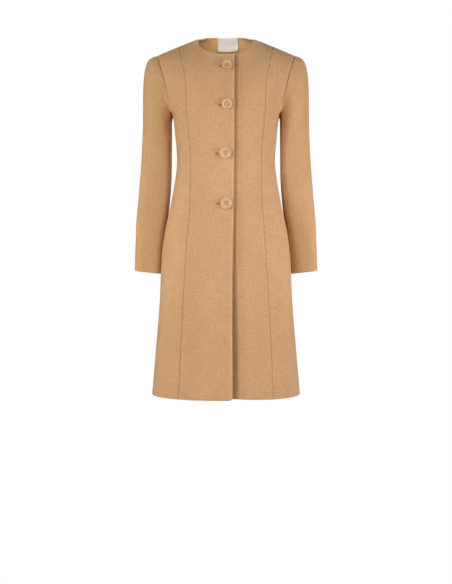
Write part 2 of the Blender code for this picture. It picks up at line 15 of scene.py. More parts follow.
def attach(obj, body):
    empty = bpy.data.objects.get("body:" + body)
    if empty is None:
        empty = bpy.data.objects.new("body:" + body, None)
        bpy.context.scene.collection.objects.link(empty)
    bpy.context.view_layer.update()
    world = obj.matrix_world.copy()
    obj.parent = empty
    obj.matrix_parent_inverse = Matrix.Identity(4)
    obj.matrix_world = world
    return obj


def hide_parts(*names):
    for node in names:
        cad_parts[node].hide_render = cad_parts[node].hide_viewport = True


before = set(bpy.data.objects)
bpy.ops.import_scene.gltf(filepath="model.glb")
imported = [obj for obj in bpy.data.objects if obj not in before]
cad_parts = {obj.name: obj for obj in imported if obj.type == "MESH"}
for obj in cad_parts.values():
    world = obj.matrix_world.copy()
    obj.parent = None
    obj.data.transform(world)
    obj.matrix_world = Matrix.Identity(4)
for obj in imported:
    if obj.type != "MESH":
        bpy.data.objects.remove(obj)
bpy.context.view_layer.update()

# Centre fronts
# Two panels of felted camel wool coating, from the neck to the hem. The right one laps over the
# left one. Front edges, necks and hems are turned in, so they are double and round, and a pressed
# princess seam joins each panel to its side front.
CLOTH = 0.002               # one layer of coating
TURNED_EDGE = 0.0030        # thickness where an edge is turned in
TURN_WIDTH = 0.032          # how far it is turned in
TURN_FADE = 0.003           # width over which it then thins out to one layer
PAINTED_SHEEN_WIDTH = 0.009       # width of the paler strip painted along a front edge, a painted highlight for its pressed nap
NECK_ROLL = 0.0018          # radius with which the back neck rolls over to its facing
ROLL_END = 0.96             # share of its radius that an edge rolls over
THINNEST = 0.0003           # least thickness of a rolled edge
SEAM_GAP = 0.00004          # between two pieces where they are sewn
SEAM_ROLL = 0.0020          # radius with which the cloth rolls into a seam
SEAM_HOLLOW = 0.00035       # wide shallow dip that pressing leaves along a seam
SEAM_HOLLOW_WIDTH = 0.006
HEM_LINE = 0.016            # the edge of the turned hem shows as a faint line this far up
HEM_LINE_DEPTH = 0.00022
HEM_LINE_WIDTH = 0.0022
SLOPE_STEP = 0.002          # step for measuring the slope of the cloth, across and up
GRID_STEP = 0.0036          # spacing of the points in a shell
EDGE_STEPS = np.array([0, 0.0002, 0.0005, 0.0009, 0.0014, 0.0021, 0.0031, 0.0046, 0.0068])
SHARP = radians(50)         # faces that meet at more than this are shaded apart
SAME_PLACE = 1e-6           # two places closer than this are one
FAR = 1.0                   # stands for no edge near by
MIRROR = np.array([-1, 1, 1])

NECK_HALF = 0.077           # from the centre to the neck end of a shoulder seam
NECK_Z = 0.0245             # height of that end
FRONT_NECK_DROP = 0.0490    # depth of the front neck below it
NECK_SQUARE = 2.5           # how square the front neck is, 2 being an ellipse
BACK_NECK_UP = 1.0060       # up of the back neck at the centre
NECK_BEND = 0.35            # the part of a section that falls in a curve from its middle
SHOULDER = 1.070            # up of the shoulder seam
UNDERARM = 0.770            # up of the lowest point of the armhole
SQUEEZE_FROM = 0.80         # above this the rows close up under the neck
FRONT_WIDTH = 0.14          # about how wide a centre front is, for spacing its columns

UNDER_LAP = 0.025           # how far the left front runs on under the lap, past the centre
SET_IN_TOP = 0.0085         # how deep the left front lies under the lap
SET_IN_HEM = 0.0170
SET_IN_FREE = 0.55          # up below which the lap hangs free
SET_IN_EASE_TOP = 0.026     # width over which the left front comes out again
SET_IN_EASE_HEM = 0.044
SET_IN_FLOOR = 0.004        # how far past the lap it stays at its deepest
HEM_LIFT = 0.0055           # how much shorter its front edge is
CORNER = 0.004              # the lap's lower corner is rounded by this much
CORNER_WIDTH = 0.012

# Where each button is sewn on, top to bottom, its radius, and how far its buttonhole lies below
# its centre and runs to its left.
ButtonPlace = namedtuple("ButtonPlace", "up x radius slit_drop slit_left")
BUTTONS = [
    ButtonPlace(0.9146, 0.0031, 0.0149, 0.0015, 0.0200),
    ButtonPlace(0.8020, 0.0031, 0.0151, 0.0032, 0.0212),
    ButtonPlace(0.6694, -0.0013, 0.0168, 0.0022, 0.0249),
    ButtonPlace(0.5314, 0.0008, 0.0165, 0.0012, 0.0250),
]
SLIT_RIGHT = 0.0040         # the other end, hidden by the button
SLIT_HALF = 0.0007          # half the width of the gap between its lips
SLIT_DEPTH = 0.0018
SLIT_TAPER = 0.004          # length over which its ends close

Section = namedtuple("Section", "up z_centre z_side half_width y_centre y_side turn roundness")
FRONT = [
    Section(0.000, -0.968, -0.966, 0.2078, -0.165, 0.000, 90, 2.5),     # hem
    Section(0.118, -0.850, -0.850, 0.1976, -0.157, 0.000, 90, 2.5),
    Section(0.268, -0.700, -0.700, 0.1853, -0.147, 0.000, 90, 2.5),     # thigh
    Section(0.368, -0.600, -0.600, 0.1808, -0.137, 0.000, 90, 2.5),
    Section(0.438, -0.530, -0.530, 0.1732, -0.127, 0.000, 90, 2.5),     # hip
    Section(0.538, -0.430, -0.430, 0.1525, -0.112, 0.000, 90, 2.5),
    Section(0.653, -0.315, -0.315, 0.1370, -0.103, 0.000, 90, 2.6),     # waist
    Section(0.712, -0.256, -0.256, 0.1412, -0.1125, 0.000, 90, 2.6),
    Section(0.770, -0.198, -0.198, 0.1480, -0.1195, 0.000, 90, 2.6),    # underarm
    Section(0.790, -0.178, -0.178, 0.1540, -0.120, -0.042, 60, 2.7),
    Section(0.835, -0.134, -0.134, 0.1625, -0.115, -0.054, 59, 2.5),
    Section(0.880, -0.091, -0.095, 0.1710, -0.1055, -0.055, 57, 2.3),   # middle of the armhole
    Section(0.964, -0.018, -0.051, 0.1840, -0.072, -0.037, 55, 2.3),
    Section(1.026, 0.018, -0.031, 0.1900, -0.034, -0.018, 55, 2.3),
    Section(1.070, 0.0406, -0.0225, 0.1930, 0.006, 0.006, 55, 2.3),     # shoulder seam
]
BACK = [
    Section(0.000, -0.968, -0.966, 0.2078, 0.170, 0.000, 90, 2.1),
    Section(0.118, -0.850, -0.850, 0.1976, 0.160, 0.000, 90, 2.1),
    Section(0.268, -0.700, -0.700, 0.1853, 0.150, 0.000, 90, 2.1),
    Section(0.368, -0.600, -0.600, 0.1808, 0.143, 0.000, 90, 2.1),
    Section(0.438, -0.530, -0.530, 0.1732, 0.137, 0.000, 90, 2.1),
    Section(0.538, -0.430, -0.430, 0.1525, 0.118, 0.000, 90, 2.1),
    Section(0.653, -0.315, -0.315, 0.1370, 0.092, 0.000, 90, 2.1),
    Section(0.712, -0.256, -0.256, 0.1412, 0.099, 0.000, 90, 2.2),
    Section(0.770, -0.198, -0.198, 0.1480, 0.108, 0.000, 90, 2.2),
    Section(0.790, -0.178, -0.178, 0.1550, 0.1105, 0.040, 60, 2.2),
    Section(0.835, -0.134, -0.134, 0.1640, 0.114, 0.053, 59, 2.2),
    Section(0.880, -0.090, -0.092, 0.1730, 0.112, 0.059, 57, 2.2),
    Section(0.964, -0.010, -0.045, 0.1860, 0.088, 0.045, 55, 2.2),
    Section(1.026, 0.044, -0.030, 0.1900, 0.056, 0.030, 55, 2.2),
    Section(1.070, 0.0406, -0.0225, 0.1930, 0.006, 0.006, 55, 2.3),
]
BODY = {"front": FRONT, "back": BACK}
OTHER = {"front": "back", "back": "front"}
OUTWARD = {"front": 1, "back": -1}

SeamPoint = namedtuple("SeamPoint", "up x")
PRINCESS = [
    SeamPoint(0.000, 0.1290),
    SeamPoint(0.250, 0.1173),
    SeamPoint(0.428, 0.1067),
    SeamPoint(0.538, 0.0988),
    SeamPoint(0.653, 0.0971),
    SeamPoint(0.718, 0.1018),
    SeamPoint(0.770, 0.1063),
    SeamPoint(0.865, 0.1107),
    SeamPoint(0.964, 0.1233),
    SeamPoint(1.070, 0.1316),
]

LAP = [
    SeamPoint(0.000, 0.0178),
    SeamPoint(0.260, 0.0170),
    SeamPoint(0.400, 0.0184),
    SeamPoint(0.532, 0.0212),
    SeamPoint(0.763, 0.0228),
    SeamPoint(1.070, 0.0240),
]

# Soft creases in the body, seen from in front: the middle of each, how it leans from level, half
# its length, its width and its depth. A crease with a y above 0 lies in the back. Beside each a
# ridge stands up, by a share of its depth and so many widths away.
CREASE_RIDGE = 0.6
RIDGE_AWAY = 1.9
Crease = namedtuple("Crease", "x y z lean length width depth")
BODY_CREASES = [
    Crease(0.128, -0.06, -0.175, 32, 0.055, 0.010, 0.0009),      # from the left underarm
    Crease(-0.126, -0.06, -0.183, -27, 0.048, 0.011, 0.0008),    # from the right underarm
    Crease(0.060, -0.10, -0.322, 8, 0.050, 0.012, 0.0005),       # waist
    Crease(-0.075, -0.10, -0.306, -6, 0.042, 0.011, 0.0005),
    Crease(0.050, 0.09, -0.335, 12, 0.085, 0.013, 0.0022),       # hollow of the back
    Crease(-0.046, 0.09, -0.318, -15, 0.078, 0.012, 0.0019),
    Crease(-0.010, 0.09, -0.288, 4, 0.070, 0.012, 0.0013),
    Crease(0.118, 0.09, -0.160, 62, 0.070, 0.012, 0.0014),       # behind the left arm
    Crease(-0.121, 0.09, -0.168, -58, 0.064, 0.013, 0.0015),
]

# Soft upright waves in the skirt: place round the body from the centre front, width and depth.
Wave = namedtuple("Wave", "angle width depth")
SKIRT_WAVES = [
    Wave(-168, 16, 0.0030),
    Wave(-128, 18, 0.0036),
    Wave(-88, 13, 0.0016),
    Wave(-40, 12, 0.0007),
    Wave(37, 13, 0.0006),
    Wave(92, 14, 0.0018),
    Wave(121, 16, 0.0034),
    Wave(158, 17, 0.0028),
]
WAVES_END = 0.52            # up at which the waves have run out


def smooth_through(knots, values, at):
    """A smooth curve through the knots that never overshoots between two of them."""
    steps = np.diff(knots)
    slopes = np.diff(values) / steps
    tangents = np.zeros(len(knots))
    tangents[0] = slopes[0]
    tangents[-1] = slopes[-1]
    for i in range(1, len(slopes)):
        if slopes[i - 1] * slopes[i] > 0:
            before = 2 * steps[i] + steps[i - 1]
            after = steps[i] + 2 * steps[i - 1]
            tangents[i] = (before + after) / (before / slopes[i - 1] + after / slopes[i])
    span = np.clip(np.searchsorted(knots, at, side="right") - 1, 0, len(steps) - 1)
    step = steps[span]
    t = (at - knots[span]) / step
    rise = values[span + 1] - values[span]
    start = step * tangents[span] * t * (1 - t) ** 2
    end = step * tangents[span + 1] * t ** 2 * (1 - t)
    return values[span] + start + rise * t ** 2 * (3 - 2 * t) - end


def row_at(table, at):
    """A table's row at any value of its first column, or an array of them."""
    columns = np.array(table, dtype=float).T
    return type(table[0])(*[smooth_through(columns[0], column, at) for column in columns])


def ease(share):
    """0 to 1 with a soft start and end."""
    t = np.clip(share, 0, 1)
    return t * t * (3 - 2 * t)


def reach(angle, roundness):
    """Radius of a rounded square of half width 1."""
    sine = np.abs(np.sin(angle)) ** roundness
    cosine = np.abs(np.cos(angle)) ** roundness
    return (sine + cosine) ** (-1 / roundness)


def section_point(side, across, up):
    section = row_at(BODY[side], up)
    turn = np.radians(section.turn)
    angle = across * turn
    edge_x = reach(turn, section.roundness) * np.sin(turn)
    edge_y = reach(turn, section.roundness) * np.cos(turn)
    x_share = reach(angle, section.roundness) * np.sin(angle) / edge_x
    y_share = (reach(angle, section.roundness) * np.cos(angle) - edge_y) / (1 - edge_y)
    z_share = (np.hypot(x_share, NECK_BEND) - NECK_BEND) / (np.hypot(1, NECK_BEND) - NECK_BEND)
    x = section.half_width * x_share
    y = section.y_side + (section.y_centre - section.y_side) * y_share
    z = section.z_centre + (section.z_side - section.z_centre) * z_share
    return np.stack([x, y, z], axis=-1)


def cloth_point(side, across, up):
    """The body's outer face. Across runs from -1 at the right edge to 1 at the left edge, up
    from the hem; past the shoulder seam the cloth runs on down the other side."""
    near = section_point(side, across, np.minimum(up, SHOULDER))
    far = section_point(OTHER[side], across, np.minimum(2 * SHOULDER - up, SHOULDER))
    return np.where((up > SHOULDER)[..., None], far, near)


def slopes_at(side, across, up):
    """How the outer face moves for a step across and for a step up."""
    right = cloth_point(side, across + SLOPE_STEP, up)
    left = cloth_point(side, across - SLOPE_STEP, up)
    above = cloth_point(side, across, up + SLOPE_STEP)
    below = cloth_point(side, across, up - SLOPE_STEP)
    return (right - left) / (2 * SLOPE_STEP), (above - below) / (2 * SLOPE_STEP)


def unit(vectors):
    return vectors / np.linalg.norm(vectors, axis=-1, keepdims=True)


def cloth_normal(side, across, up):
    sideways, upwards = slopes_at(side, across, up)
    return OUTWARD[side] * unit(np.cross(sideways, upwards))


def across_at(side, x, up):
    """The place across a section that lies at a distance x from the centre."""
    section = row_at(BODY[side], up)
    turn = np.radians(section.turn)
    share = np.abs(x) / section.half_width * reach(turn, section.roundness) * np.sin(turn)
    share = np.maximum(share, SAME_PLACE)
    cotangent = (share ** -section.roundness - 1) ** (1 / section.roundness)
    return np.sign(x) * np.arctan2(1, cotangent) / turn


def trimmed(side, across, up, way):
    """A seam line moved half a seam gap into its piece, to the left (1) or the right (-1)."""
    sideways, _ = slopes_at(side, across, up)
    return across + way * SEAM_GAP / 2 / np.linalg.norm(sideways, axis=-1)


def front_neck_tops(across_of, shares):
    """How far up the columns of a front run to the neck edge, a squarish round seen from in front."""
    low = np.full(len(shares), SQUEEZE_FROM)
    high = np.full(len(shares), SHOULDER)
    for _ in range(40):
        middle = (low + high) / 2
        x, _, z = cloth_point("front", across_of(shares, middle), middle).T
        share = np.clip(1 - np.abs(x / NECK_HALF) ** NECK_SQUARE, 0, 1) ** (1 / NECK_SQUARE)
        edge = NECK_Z - FRONT_NECK_DROP * share
        low = np.where(z < edge, middle, low)
        high = np.where(z < edge, high, middle)
    return low


def back_neck_tops(shares, neck_share):
    """How far up the columns of a back run to the neck edge, a quarter of an ellipse."""
    share = np.clip(shares / neck_share, 0, 1)
    return SHOULDER - (SHOULDER - BACK_NECK_UP) * np.sqrt(1 - share ** 2)


def column_tops(side, across_of, shares, neck_share):
    """How far up each column of a piece runs: to the neck edge, or to the shoulder seam."""
    seam = np.full(len(shares), SHOULDER)
    _, upwards = slopes_at(side, across_of(shares, seam), seam)
    seam -= SEAM_GAP / 2 / np.linalg.norm(upwards, axis=-1)
    if neck_share == 0:
        return seam
    if side == "front":
        neck = front_neck_tops(across_of, shares)
    else:
        neck = back_neck_tops(shares, neck_share)
    return np.where(shares < neck_share - SAME_PLACE, neck, seam)


def squeezed(rows, tops):
    """Rows of a piece closed up under its neckline."""
    share = (tops - SQUEEZE_FROM) / (SHOULDER - SQUEEZE_FROM)
    return np.where(rows > SQUEEZE_FROM, SQUEEZE_FROM + (rows - SQUEEZE_FROM) * share, rows)


def places_along(length, extra=()):
    """Places along a length, close together at both ends, as shares of it."""
    middle = np.linspace(EDGE_STEPS[-1], length - EDGE_STEPS[-1], round(length / GRID_STEP))
    return np.unique(np.concatenate([EDGE_STEPS, middle[1:-1], length - EDGE_STEPS, extra])) / length


def neck_and_shoulder(length, neck_share):
    """Columns of a piece that has both a neck edge and a shoulder seam."""
    count = round(neck_share * length / GRID_STEP)
    neck = neck_share * np.sin(np.linspace(0, pi / 2, count))
    shoulder = np.linspace(neck_share, 1, round((1 - neck_share) * length / GRID_STEP))
    ends = np.concatenate([EDGE_STEPS, length - EDGE_STEPS]) / length
    kept = np.concatenate([neck, shoulder])
    clear = (kept > EDGE_STEPS[-1] / length) & (kept < 1 - EDGE_STEPS[-1] / length)
    return np.unique(np.concatenate([kept[clear], ends, [neck_share]]))


def away_from(points, line):
    """How far points are from a line of points."""
    steps = np.diff(line, axis=0)
    offset = points[..., None, :] - line[:-1]
    share = np.clip((offset * steps).sum(-1) / (steps ** 2).sum(-1), 0, 1)
    return np.linalg.norm(offset - share[..., None] * steps, axis=-1).min(-1)


def rolled(distance, radius):
    """How far a round edge falls away at a distance from its end."""
    t = np.clip(1 - distance / radius, 0, ROLL_END)
    return radius * (1 - np.sqrt(1 - t ** 2))


def hill(distance, width):
    return np.exp(-(distance / width) ** 2)


def crease_sink(crease, sideways, rise):
    """How far a crease sinks into the cloth at distances from its middle."""
    lean = radians(crease.lean)
    along = sideways * cos(lean) + rise * sin(lean)
    away = rise * cos(lean) - sideways * sin(lean)
    fade = np.clip(1 - (along / crease.length) ** 2, 0, 1) ** 2
    ridge = CREASE_RIDGE * hill(away - RIDGE_AWAY * crease.width, crease.width)
    return crease.depth * fade * (hill(away, crease.width) - ridge)


def body_sink(points, up):
    """How far the soft creases and waves sink into the body's cloth."""
    x, y, z = np.moveaxis(points, -1, 0)
    sink = np.zeros_like(x)
    for crease in BODY_CREASES:
        sink += crease_sink(crease, x - crease.x, z - crease.z) * (y * crease.y > 0)
    angle = np.degrees(np.arctan2(x, -y))
    run_out = ease(1 - up / WAVES_END)
    for wave in SKIRT_WAVES:
        turn = (angle - wave.angle + 180) % 360 - 180
        sink += wave.depth * run_out * hill(turn, wave.width)
    return sink


def slit_sink(points):
    """How far the gaps of the buttonholes sink into the lapped front."""
    x, _, z = np.moveaxis(points, -1, 0)
    sink = np.zeros_like(x)
    for button in BUTTONS:
        level = row_at(FRONT, np.array([button.up])).z_centre[0] - button.slit_drop
        along = x - button.x
        from_left = ease((along + button.slit_left) / SLIT_TAPER)
        from_right = ease((SLIT_RIGHT - along) / SLIT_TAPER)
        sink += SLIT_DEPTH * from_left * from_right * hill(z - level, SLIT_HALF)
    return sink


def shell_depths(sink, to_seam, to_pressed_seam, to_turn, to_hem, worked=0):
    """How deep a shell's outer and inner face lie: its creases, seams, turned edges and hem line, and
    what else is worked into it."""
    outer = sink + worked + rolled(to_seam, SEAM_ROLL) + rolled(to_turn, TURNED_EDGE / 2)
    outer += SEAM_HOLLOW * np.exp(-to_pressed_seam / SEAM_HOLLOW_WIDTH)
    outer += HEM_LINE_DEPTH * hill(to_hem - HEM_LINE, HEM_LINE_WIDTH)
    wall = CLOTH + (TURNED_EDGE - CLOTH) * ease((TURN_WIDTH - to_turn) / TURN_FADE)
    inner = np.maximum(sink + wall - rolled(to_turn, TURNED_EDGE / 2), outer + THINNEST)
    return outer[..., None], inner[..., None]


def add_object(name, data):
    """A new object in the scene, at the origin."""
    added = bpy.data.objects.new(name, data)
    bpy.context.scene.collection.objects.link(added)
    return added


def add_shell(name, outer, inner, cloth_map, painted_sheen, material):
    """A closed cloth wall between two matching grids of points, with its map in metres."""
    rows, columns = outer.shape[:2]
    count = rows * columns
    place = np.arange(count).reshape(rows, columns)
    squares = np.stack([place[:-1, :-1], place[:-1, 1:], place[1:, 1:], place[1:, :-1]], axis=-1)
    squares = squares.reshape(-1, 4)
    border = np.concatenate([place[0], place[1:, -1], place[-1, -2::-1], place[-2:0:-1, 0]])
    after = np.roll(border, -1)
    rim = np.stack([after, border, border + count, after + count], axis=-1)
    faces = np.concatenate([squares, squares[:, ::-1] + count, rim])
    mesh = bpy.data.meshes.new(name)
    points = np.concatenate([outer.reshape(-1, 3), inner.reshape(-1, 3)])
    mesh.from_pydata(points.tolist(), [], faces.tolist())
    form = bmesh.new()
    form.from_mesh(mesh)
    bmesh.ops.recalc_face_normals(form, faces=form.faces)
    form.to_mesh(mesh)
    form.free()
    corner_point = np.zeros(len(mesh.loops), dtype=np.int32)
    mesh.loops.foreach_get("vertex_index", corner_point)
    both = np.tile(cloth_map.reshape(-1, 2), (2, 1))
    corner_map = both[corner_point].astype(np.float32)
    mesh.uv_layers.new(name="cloth").uv.foreach_set("vector", corner_map.ravel())
    # mask of the paler strip painted along pressed edges, a painted highlight
    marks = mesh.attributes.new("painted_sheen", "FLOAT", "POINT")
    marks.data.foreach_set("value", np.tile(painted_sheen.ravel(), 2).astype(np.float32))
    mesh.shade_smooth()
    mesh.set_sharp_from_angle(angle=SHARP)
    mesh.materials.append(material)
    piece = add_object(name, mesh)
    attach(piece, "root")
    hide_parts(name)
    return piece


def lengths_along(points, axis):
    """Distance along a grid's rows (1) or columns (0), from its first point."""
    steps = np.linalg.norm(np.diff(points, axis=axis), axis=-1)
    return np.insert(np.cumsum(steps, axis=axis), 0, 0, axis=axis)


def cut_sizes(points):
    """Width, length and area of a piece of cloth before it is sewn."""
    width = lengths_along(points, 1)[:, -1].max()
    length = lengths_along(points, 0)[-1].max()
    one = points[1:, 1:] - points[:-1, :-1]
    two = points[1:, :-1] - points[:-1, 1:]
    area = np.linalg.norm(np.cross(one, two), axis=-1).sum() / 2
    return (width, length), area


def body_piece(name, side, across_of, shares, rows, neck_share=0, front_edge=False,
               neck_turned=True, set_in=None, slits=False, hem=0, right=False):
    """A panel of the coat's body with its seams, turned edges and creases."""
    up = np.maximum(squeezed(rows[:, None], column_tops(side, across_of, shares, neck_share)), hem)
    across = across_of(shares[None, :], up)
    points = cloth_point(side, across, up)
    normals = cloth_normal(side, across, up)
    sink = set_in(points[..., 0], up) if set_in else np.zeros_like(up)
    if right:
        points = points * MIRROR
        normals = normals * MIRROR
    nowhere = np.full_like(up, FAR)
    to_start = lengths_along(points, 1)
    to_end = to_start[:, -1:] - to_start
    to_hem = away_from(points, points[0])
    neck_columns = int(np.searchsorted(shares, neck_share - SAME_PLACE))
    to_shoulder = away_from(points, points[-1, neck_columns:])
    to_neck = away_from(points, points[-1, :neck_columns + 1]) if neck_share else nowhere
    to_edge = to_start if front_edge else nowhere
    to_seam = np.minimum(to_end, to_shoulder)
    if not front_edge:
        to_seam = np.minimum(to_seam, to_start)
    to_turn = np.minimum.reduce([to_edge, to_hem, to_neck if neck_turned else nowhere])

    worked = slit_sink(points) if slits else np.zeros_like(up)
    if not neck_turned:
        worked += rolled(to_neck, NECK_ROLL)
    sink = sink + body_sink(points, up)
    outer, inner = shell_depths(sink, to_seam, to_seam, to_turn, to_hem, worked)
    middle = len(shares) // 2
    cloth_map = np.stack([to_start - to_start[:, middle:middle + 1], lengths_along(points, 0)], axis=-1)
    # the paler strip painted along the front edge: a painted highlight for its pressed nap
    painted_sheen = ease(1 - to_edge / PAINTED_SHEEN_WIDTH)
    piece = add_shell(name, points - outer * normals, points - inner * normals, cloth_map, painted_sheen, wool)
    flat, area = cut_sizes(points)


def linear(red, green, blue):
    """A display colour from 0 to 255 as linear light."""
    share = np.array([red, green, blue]) / 255
    light = np.where(share <= 0.04045, share / 12.92, ((share + 0.055) / 1.055) ** 2.4)
    return (*light, 1)


def add_node(tree, kind, inputs, **settings):
    """A shader node. Each input is a value, or the output of another node."""
    node = tree.nodes.new(kind)
    for name, value in settings.items():
        setattr(node, name, value)
    for name, value in inputs.items():
        if isinstance(value, bpy.types.NodeSocket):
            tree.links.new(value, node.inputs[name])
        else:
            node.inputs[name].default_value = value
    return node


def calculate(tree, operation, *values):
    node = add_node(tree, "ShaderNodeMath", dict(enumerate(values)), operation=operation)
    return node.outputs[0]


def blend_colours(tree, share, first, second):
    """The colour between two colours."""
    node = tree.nodes.new("ShaderNodeMix")
    node.data_type = "RGBA"
    for place, value in ((0, share), (6, first), (7, second)):
        if isinstance(value, bpy.types.NodeSocket):
            tree.links.new(value, node.inputs[place])
        else:
            node.inputs[place].default_value = value
    return node.outputs[2]


def new_material(name):
    """A new material, its node tree and its shader."""
    material = bpy.data.materials.new(name)
    material.use_nodes = True
    return material, material.node_tree, material.node_tree.nodes["Principled BSDF"]


def add_noise(tree, place, spots, dimensions, **inputs):
    """Noise on a map, with so many spots to a metre along each axis."""
    stretched = add_node(tree, "ShaderNodeVectorMath", {0: place, 1: spots}, operation="MULTIPLY")
    inputs.update(Vector=stretched.outputs[0], Scale=1.0)
    return add_node(tree, "ShaderNodeTexNoise", inputs, noise_dimensions=dimensions).outputs[0]


def add_relief(tree, shader, height, strength, distance):
    """Fine relief on a finish."""
    bump = add_node(tree, "ShaderNodeBump", {"Strength": strength, "Distance": distance,
                                             "Height": height})
    tree.links.new(bump.outputs[0], shader.inputs["Normal"])


def make_weave():
    """Coating woven from mixed camel yarns: small diagonal crossings, fibres and uneven yarns."""
    group = bpy.data.node_groups.new("wool_weave", "ShaderNodeTree")
    sockets = [
        ("Map", "INPUT", "NodeSocketVector"),
        ("Deep", "INPUT", "NodeSocketColor"),
        ("Pale", "INPUT", "NodeSocketColor"),
        ("Yarn", "INPUT", "NodeSocketFloat"),
        ("Mixture", "INPUT", "NodeSocketFloat"),
        ("Colour", "OUTPUT", "NodeSocketColor"),
        ("Roughness", "OUTPUT", "NodeSocketFloat"),
        ("Height", "OUTPUT", "NodeSocketFloat"),
    ]
    for name, way, kind in sockets:
        group.interface.new_socket(name=name, in_out=way, socket_type=kind)
    given = group.nodes.new("NodeGroupInput")
    result = group.nodes.new("NodeGroupOutput")
    place = given.outputs["Map"]

    def noise(across, upwards, detail):
        """Noise around 0, in the plane of the cloth."""
        spots = add_noise(group, place, (across, upwards, 1), "2D", Detail=detail, Roughness=0.6)
        return calculate(group, "SUBTRACT", spots, 0.5)

    split = add_node(group, "ShaderNodeSeparateXYZ", {0: place})
    turns = calculate(group, "DIVIDE", 2 * pi, given.outputs["Yarn"])
    rising = calculate(group, "ADD", split.outputs[0], split.outputs[1])
    falling = calculate(group, "SUBTRACT", split.outputs[0], split.outputs[1])
    one = calculate(group, "SINE", calculate(group, "MULTIPLY", rising, turns))
    two = calculate(group, "SINE", calculate(group, "MULTIPLY", falling, turns))
    crossing = calculate(group, "MULTIPLY", one, two)
    fibres = noise(900, 900, 4)
    mixed = noise(300, 300, 3)
    upright = noise(520, 34, 2)
    level = noise(34, 520, 2)
    clouds = noise(11, 9, 2)

    def weighted(*pairs):
        total = 0.0
        for value, weight in pairs:
            total = calculate(group, "MULTIPLY_ADD", value, weight, total)
        return total

    tone = weighted((crossing, 0.10), (fibres, 0.55), (mixed, 0.85), (upright, 0.45), (level, 0.45),
                    (clouds, 0.22))
    share = calculate(group, "MULTIPLY_ADD", tone, given.outputs["Mixture"], 0.5)
    colour = blend_colours(group, share, given.outputs["Deep"], given.outputs["Pale"])
    height = weighted((crossing, 0.35), (fibres, 0.9), (mixed, 0.5), (upright, 0.3), (level, 0.3))
    group.links.new(colour, result.inputs["Colour"])
    group.links.new(calculate(group, "MULTIPLY_ADD", fibres, 0.16, 0.86), result.inputs["Roughness"])
    group.links.new(height, result.inputs["Height"])
    return group


def make_cloth(name, deep, pale, yarn, mixture, sheen):
    """A wool cloth. Along a pressed edge a paler strip is painted in, a painted highlight for its
    flattened nap.
    """
    material, tree, shader = new_material(name)
    place = add_node(tree, "ShaderNodeUVMap", {}, uv_map="cloth")
    woven = add_node(tree, "ShaderNodeGroup", {
        "Map": place.outputs[0], "Deep": linear(*deep), "Pale": linear(*pale), "Yarn": yarn,
        "Mixture": mixture}, node_tree=weave)
    # a paler colour is painted where the mask is set: a painted highlight for the flattened nap along a
    # pressed edge
    painted_sheen = add_node(tree, "ShaderNodeAttribute", {}, attribute_name="painted_sheen")
    painted_sheen_share = calculate(tree, "MULTIPLY", painted_sheen.outputs["Fac"], 0.35)
    colour = blend_colours(tree, painted_sheen_share, woven.outputs["Colour"], linear(*pale))
    tree.links.new(colour, shader.inputs["Base Color"])
    tree.links.new(woven.outputs["Roughness"], shader.inputs["Roughness"])
    add_relief(tree, shader, woven.outputs["Height"], strength=0.35, distance=0.0005)
    shader.inputs["Specular IOR Level"].default_value = 0.2
    shader.inputs["Sheen Weight"].default_value = sheen
    shader.inputs["Sheen Roughness"].default_value = 0.5
    shader.inputs["Sheen Tint"].default_value = linear(255, 232, 205)
    return material


def princess_across(up):
    return across_at("front", row_at(PRINCESS, up).x, up)


def front_across(edge_x):
    """Where the columns of a centre front run, from its front edge to the princess seam."""
    def across_of(share, up):
        start = across_at("front", -edge_x(up), up)
        end = trimmed("front", princess_across(up), up, -1)
        return start + (end - start) * share
    return across_of


def lap_edge(up):
    return row_at(LAP, up).x


def under_lap_edge(up):
    return np.full_like(up, UNDER_LAP)


def under_lap_depth(x, up):
    """The left front is set in under the lap, most where the lap hangs free at the hem."""
    free = ease((SET_IN_FREE - up) / SET_IN_FREE)
    deepest = SET_IN_TOP + (SET_IN_HEM - SET_IN_TOP) * free
    width = SET_IN_EASE_TOP + (SET_IN_EASE_HEM - SET_IN_EASE_TOP) * free
    past_floor = x - lap_edge(up) - SET_IN_FLOOR
    return deepest * (1 - ease(past_floor / width))


def front_columns(across_of):
    """Columns of a centre front, and the share of them that ends at the neck."""
    top = np.array(SHOULDER)
    start, end = across_of(0, top), across_of(1, top)
    neck_share = float((across_at("front", NECK_HALF, top) - start) / (end - start))
    return neck_and_shoulder(FRONT_WIDTH, neck_share), neck_share


weave = make_weave()
wool = make_cloth("camel_wool", deep=(168, 121, 77), pale=(228, 184, 139), yarn=0.0022, mixture=0.85,
                  sheen=0.12)
slit_rows = [button.up - button.slit_drop + np.linspace(-0.0035, 0.0035, 15) for button in BUTTONS]
plain_rows = places_along(SHOULDER) * SHOULDER
slit_and_plain_rows = np.unique(np.concatenate([plain_rows, *slit_rows]))

across_of = front_across(lap_edge)
shares, neck_share = front_columns(across_of)
corner = CORNER * np.clip(1 - shares * FRONT_WIDTH / CORNER_WIDTH, 0, 1) ** 2
body_piece("front_right", "front", across_of, shares, slit_and_plain_rows, neck_share, front_edge=True,
           slits=True, hem=corner, right=True)
across_of = front_across(under_lap_edge)
shares, neck_share = front_columns(across_of)
body_piece("front_left", "front", across_of, shares, plain_rows, neck_share, front_edge=True,
           set_in=under_lap_depth, hem=HEM_LIFT * (1 - shares))

# Side fronts
# The panel between each princess seam and the side seam, from the shoulder and the armhole to the
# hem. It is the same coating, cut on the same grain, with its hem turned in.
SIDE_FRONT_WIDTH = 0.10     # about how wide it is, for spacing its columns


def side_front_across(share, up):
    start = trimmed("front", princess_across(up), up, 1)
    end = trimmed("front", np.ones_like(up), up, -1)
    return start + (end - start) * share


for name, right in (("side_front_left", False), ("side_front_right", True)):
    body_piece(name, "front", side_front_across, places_along(SIDE_FRONT_WIDTH), plain_rows, right=right)

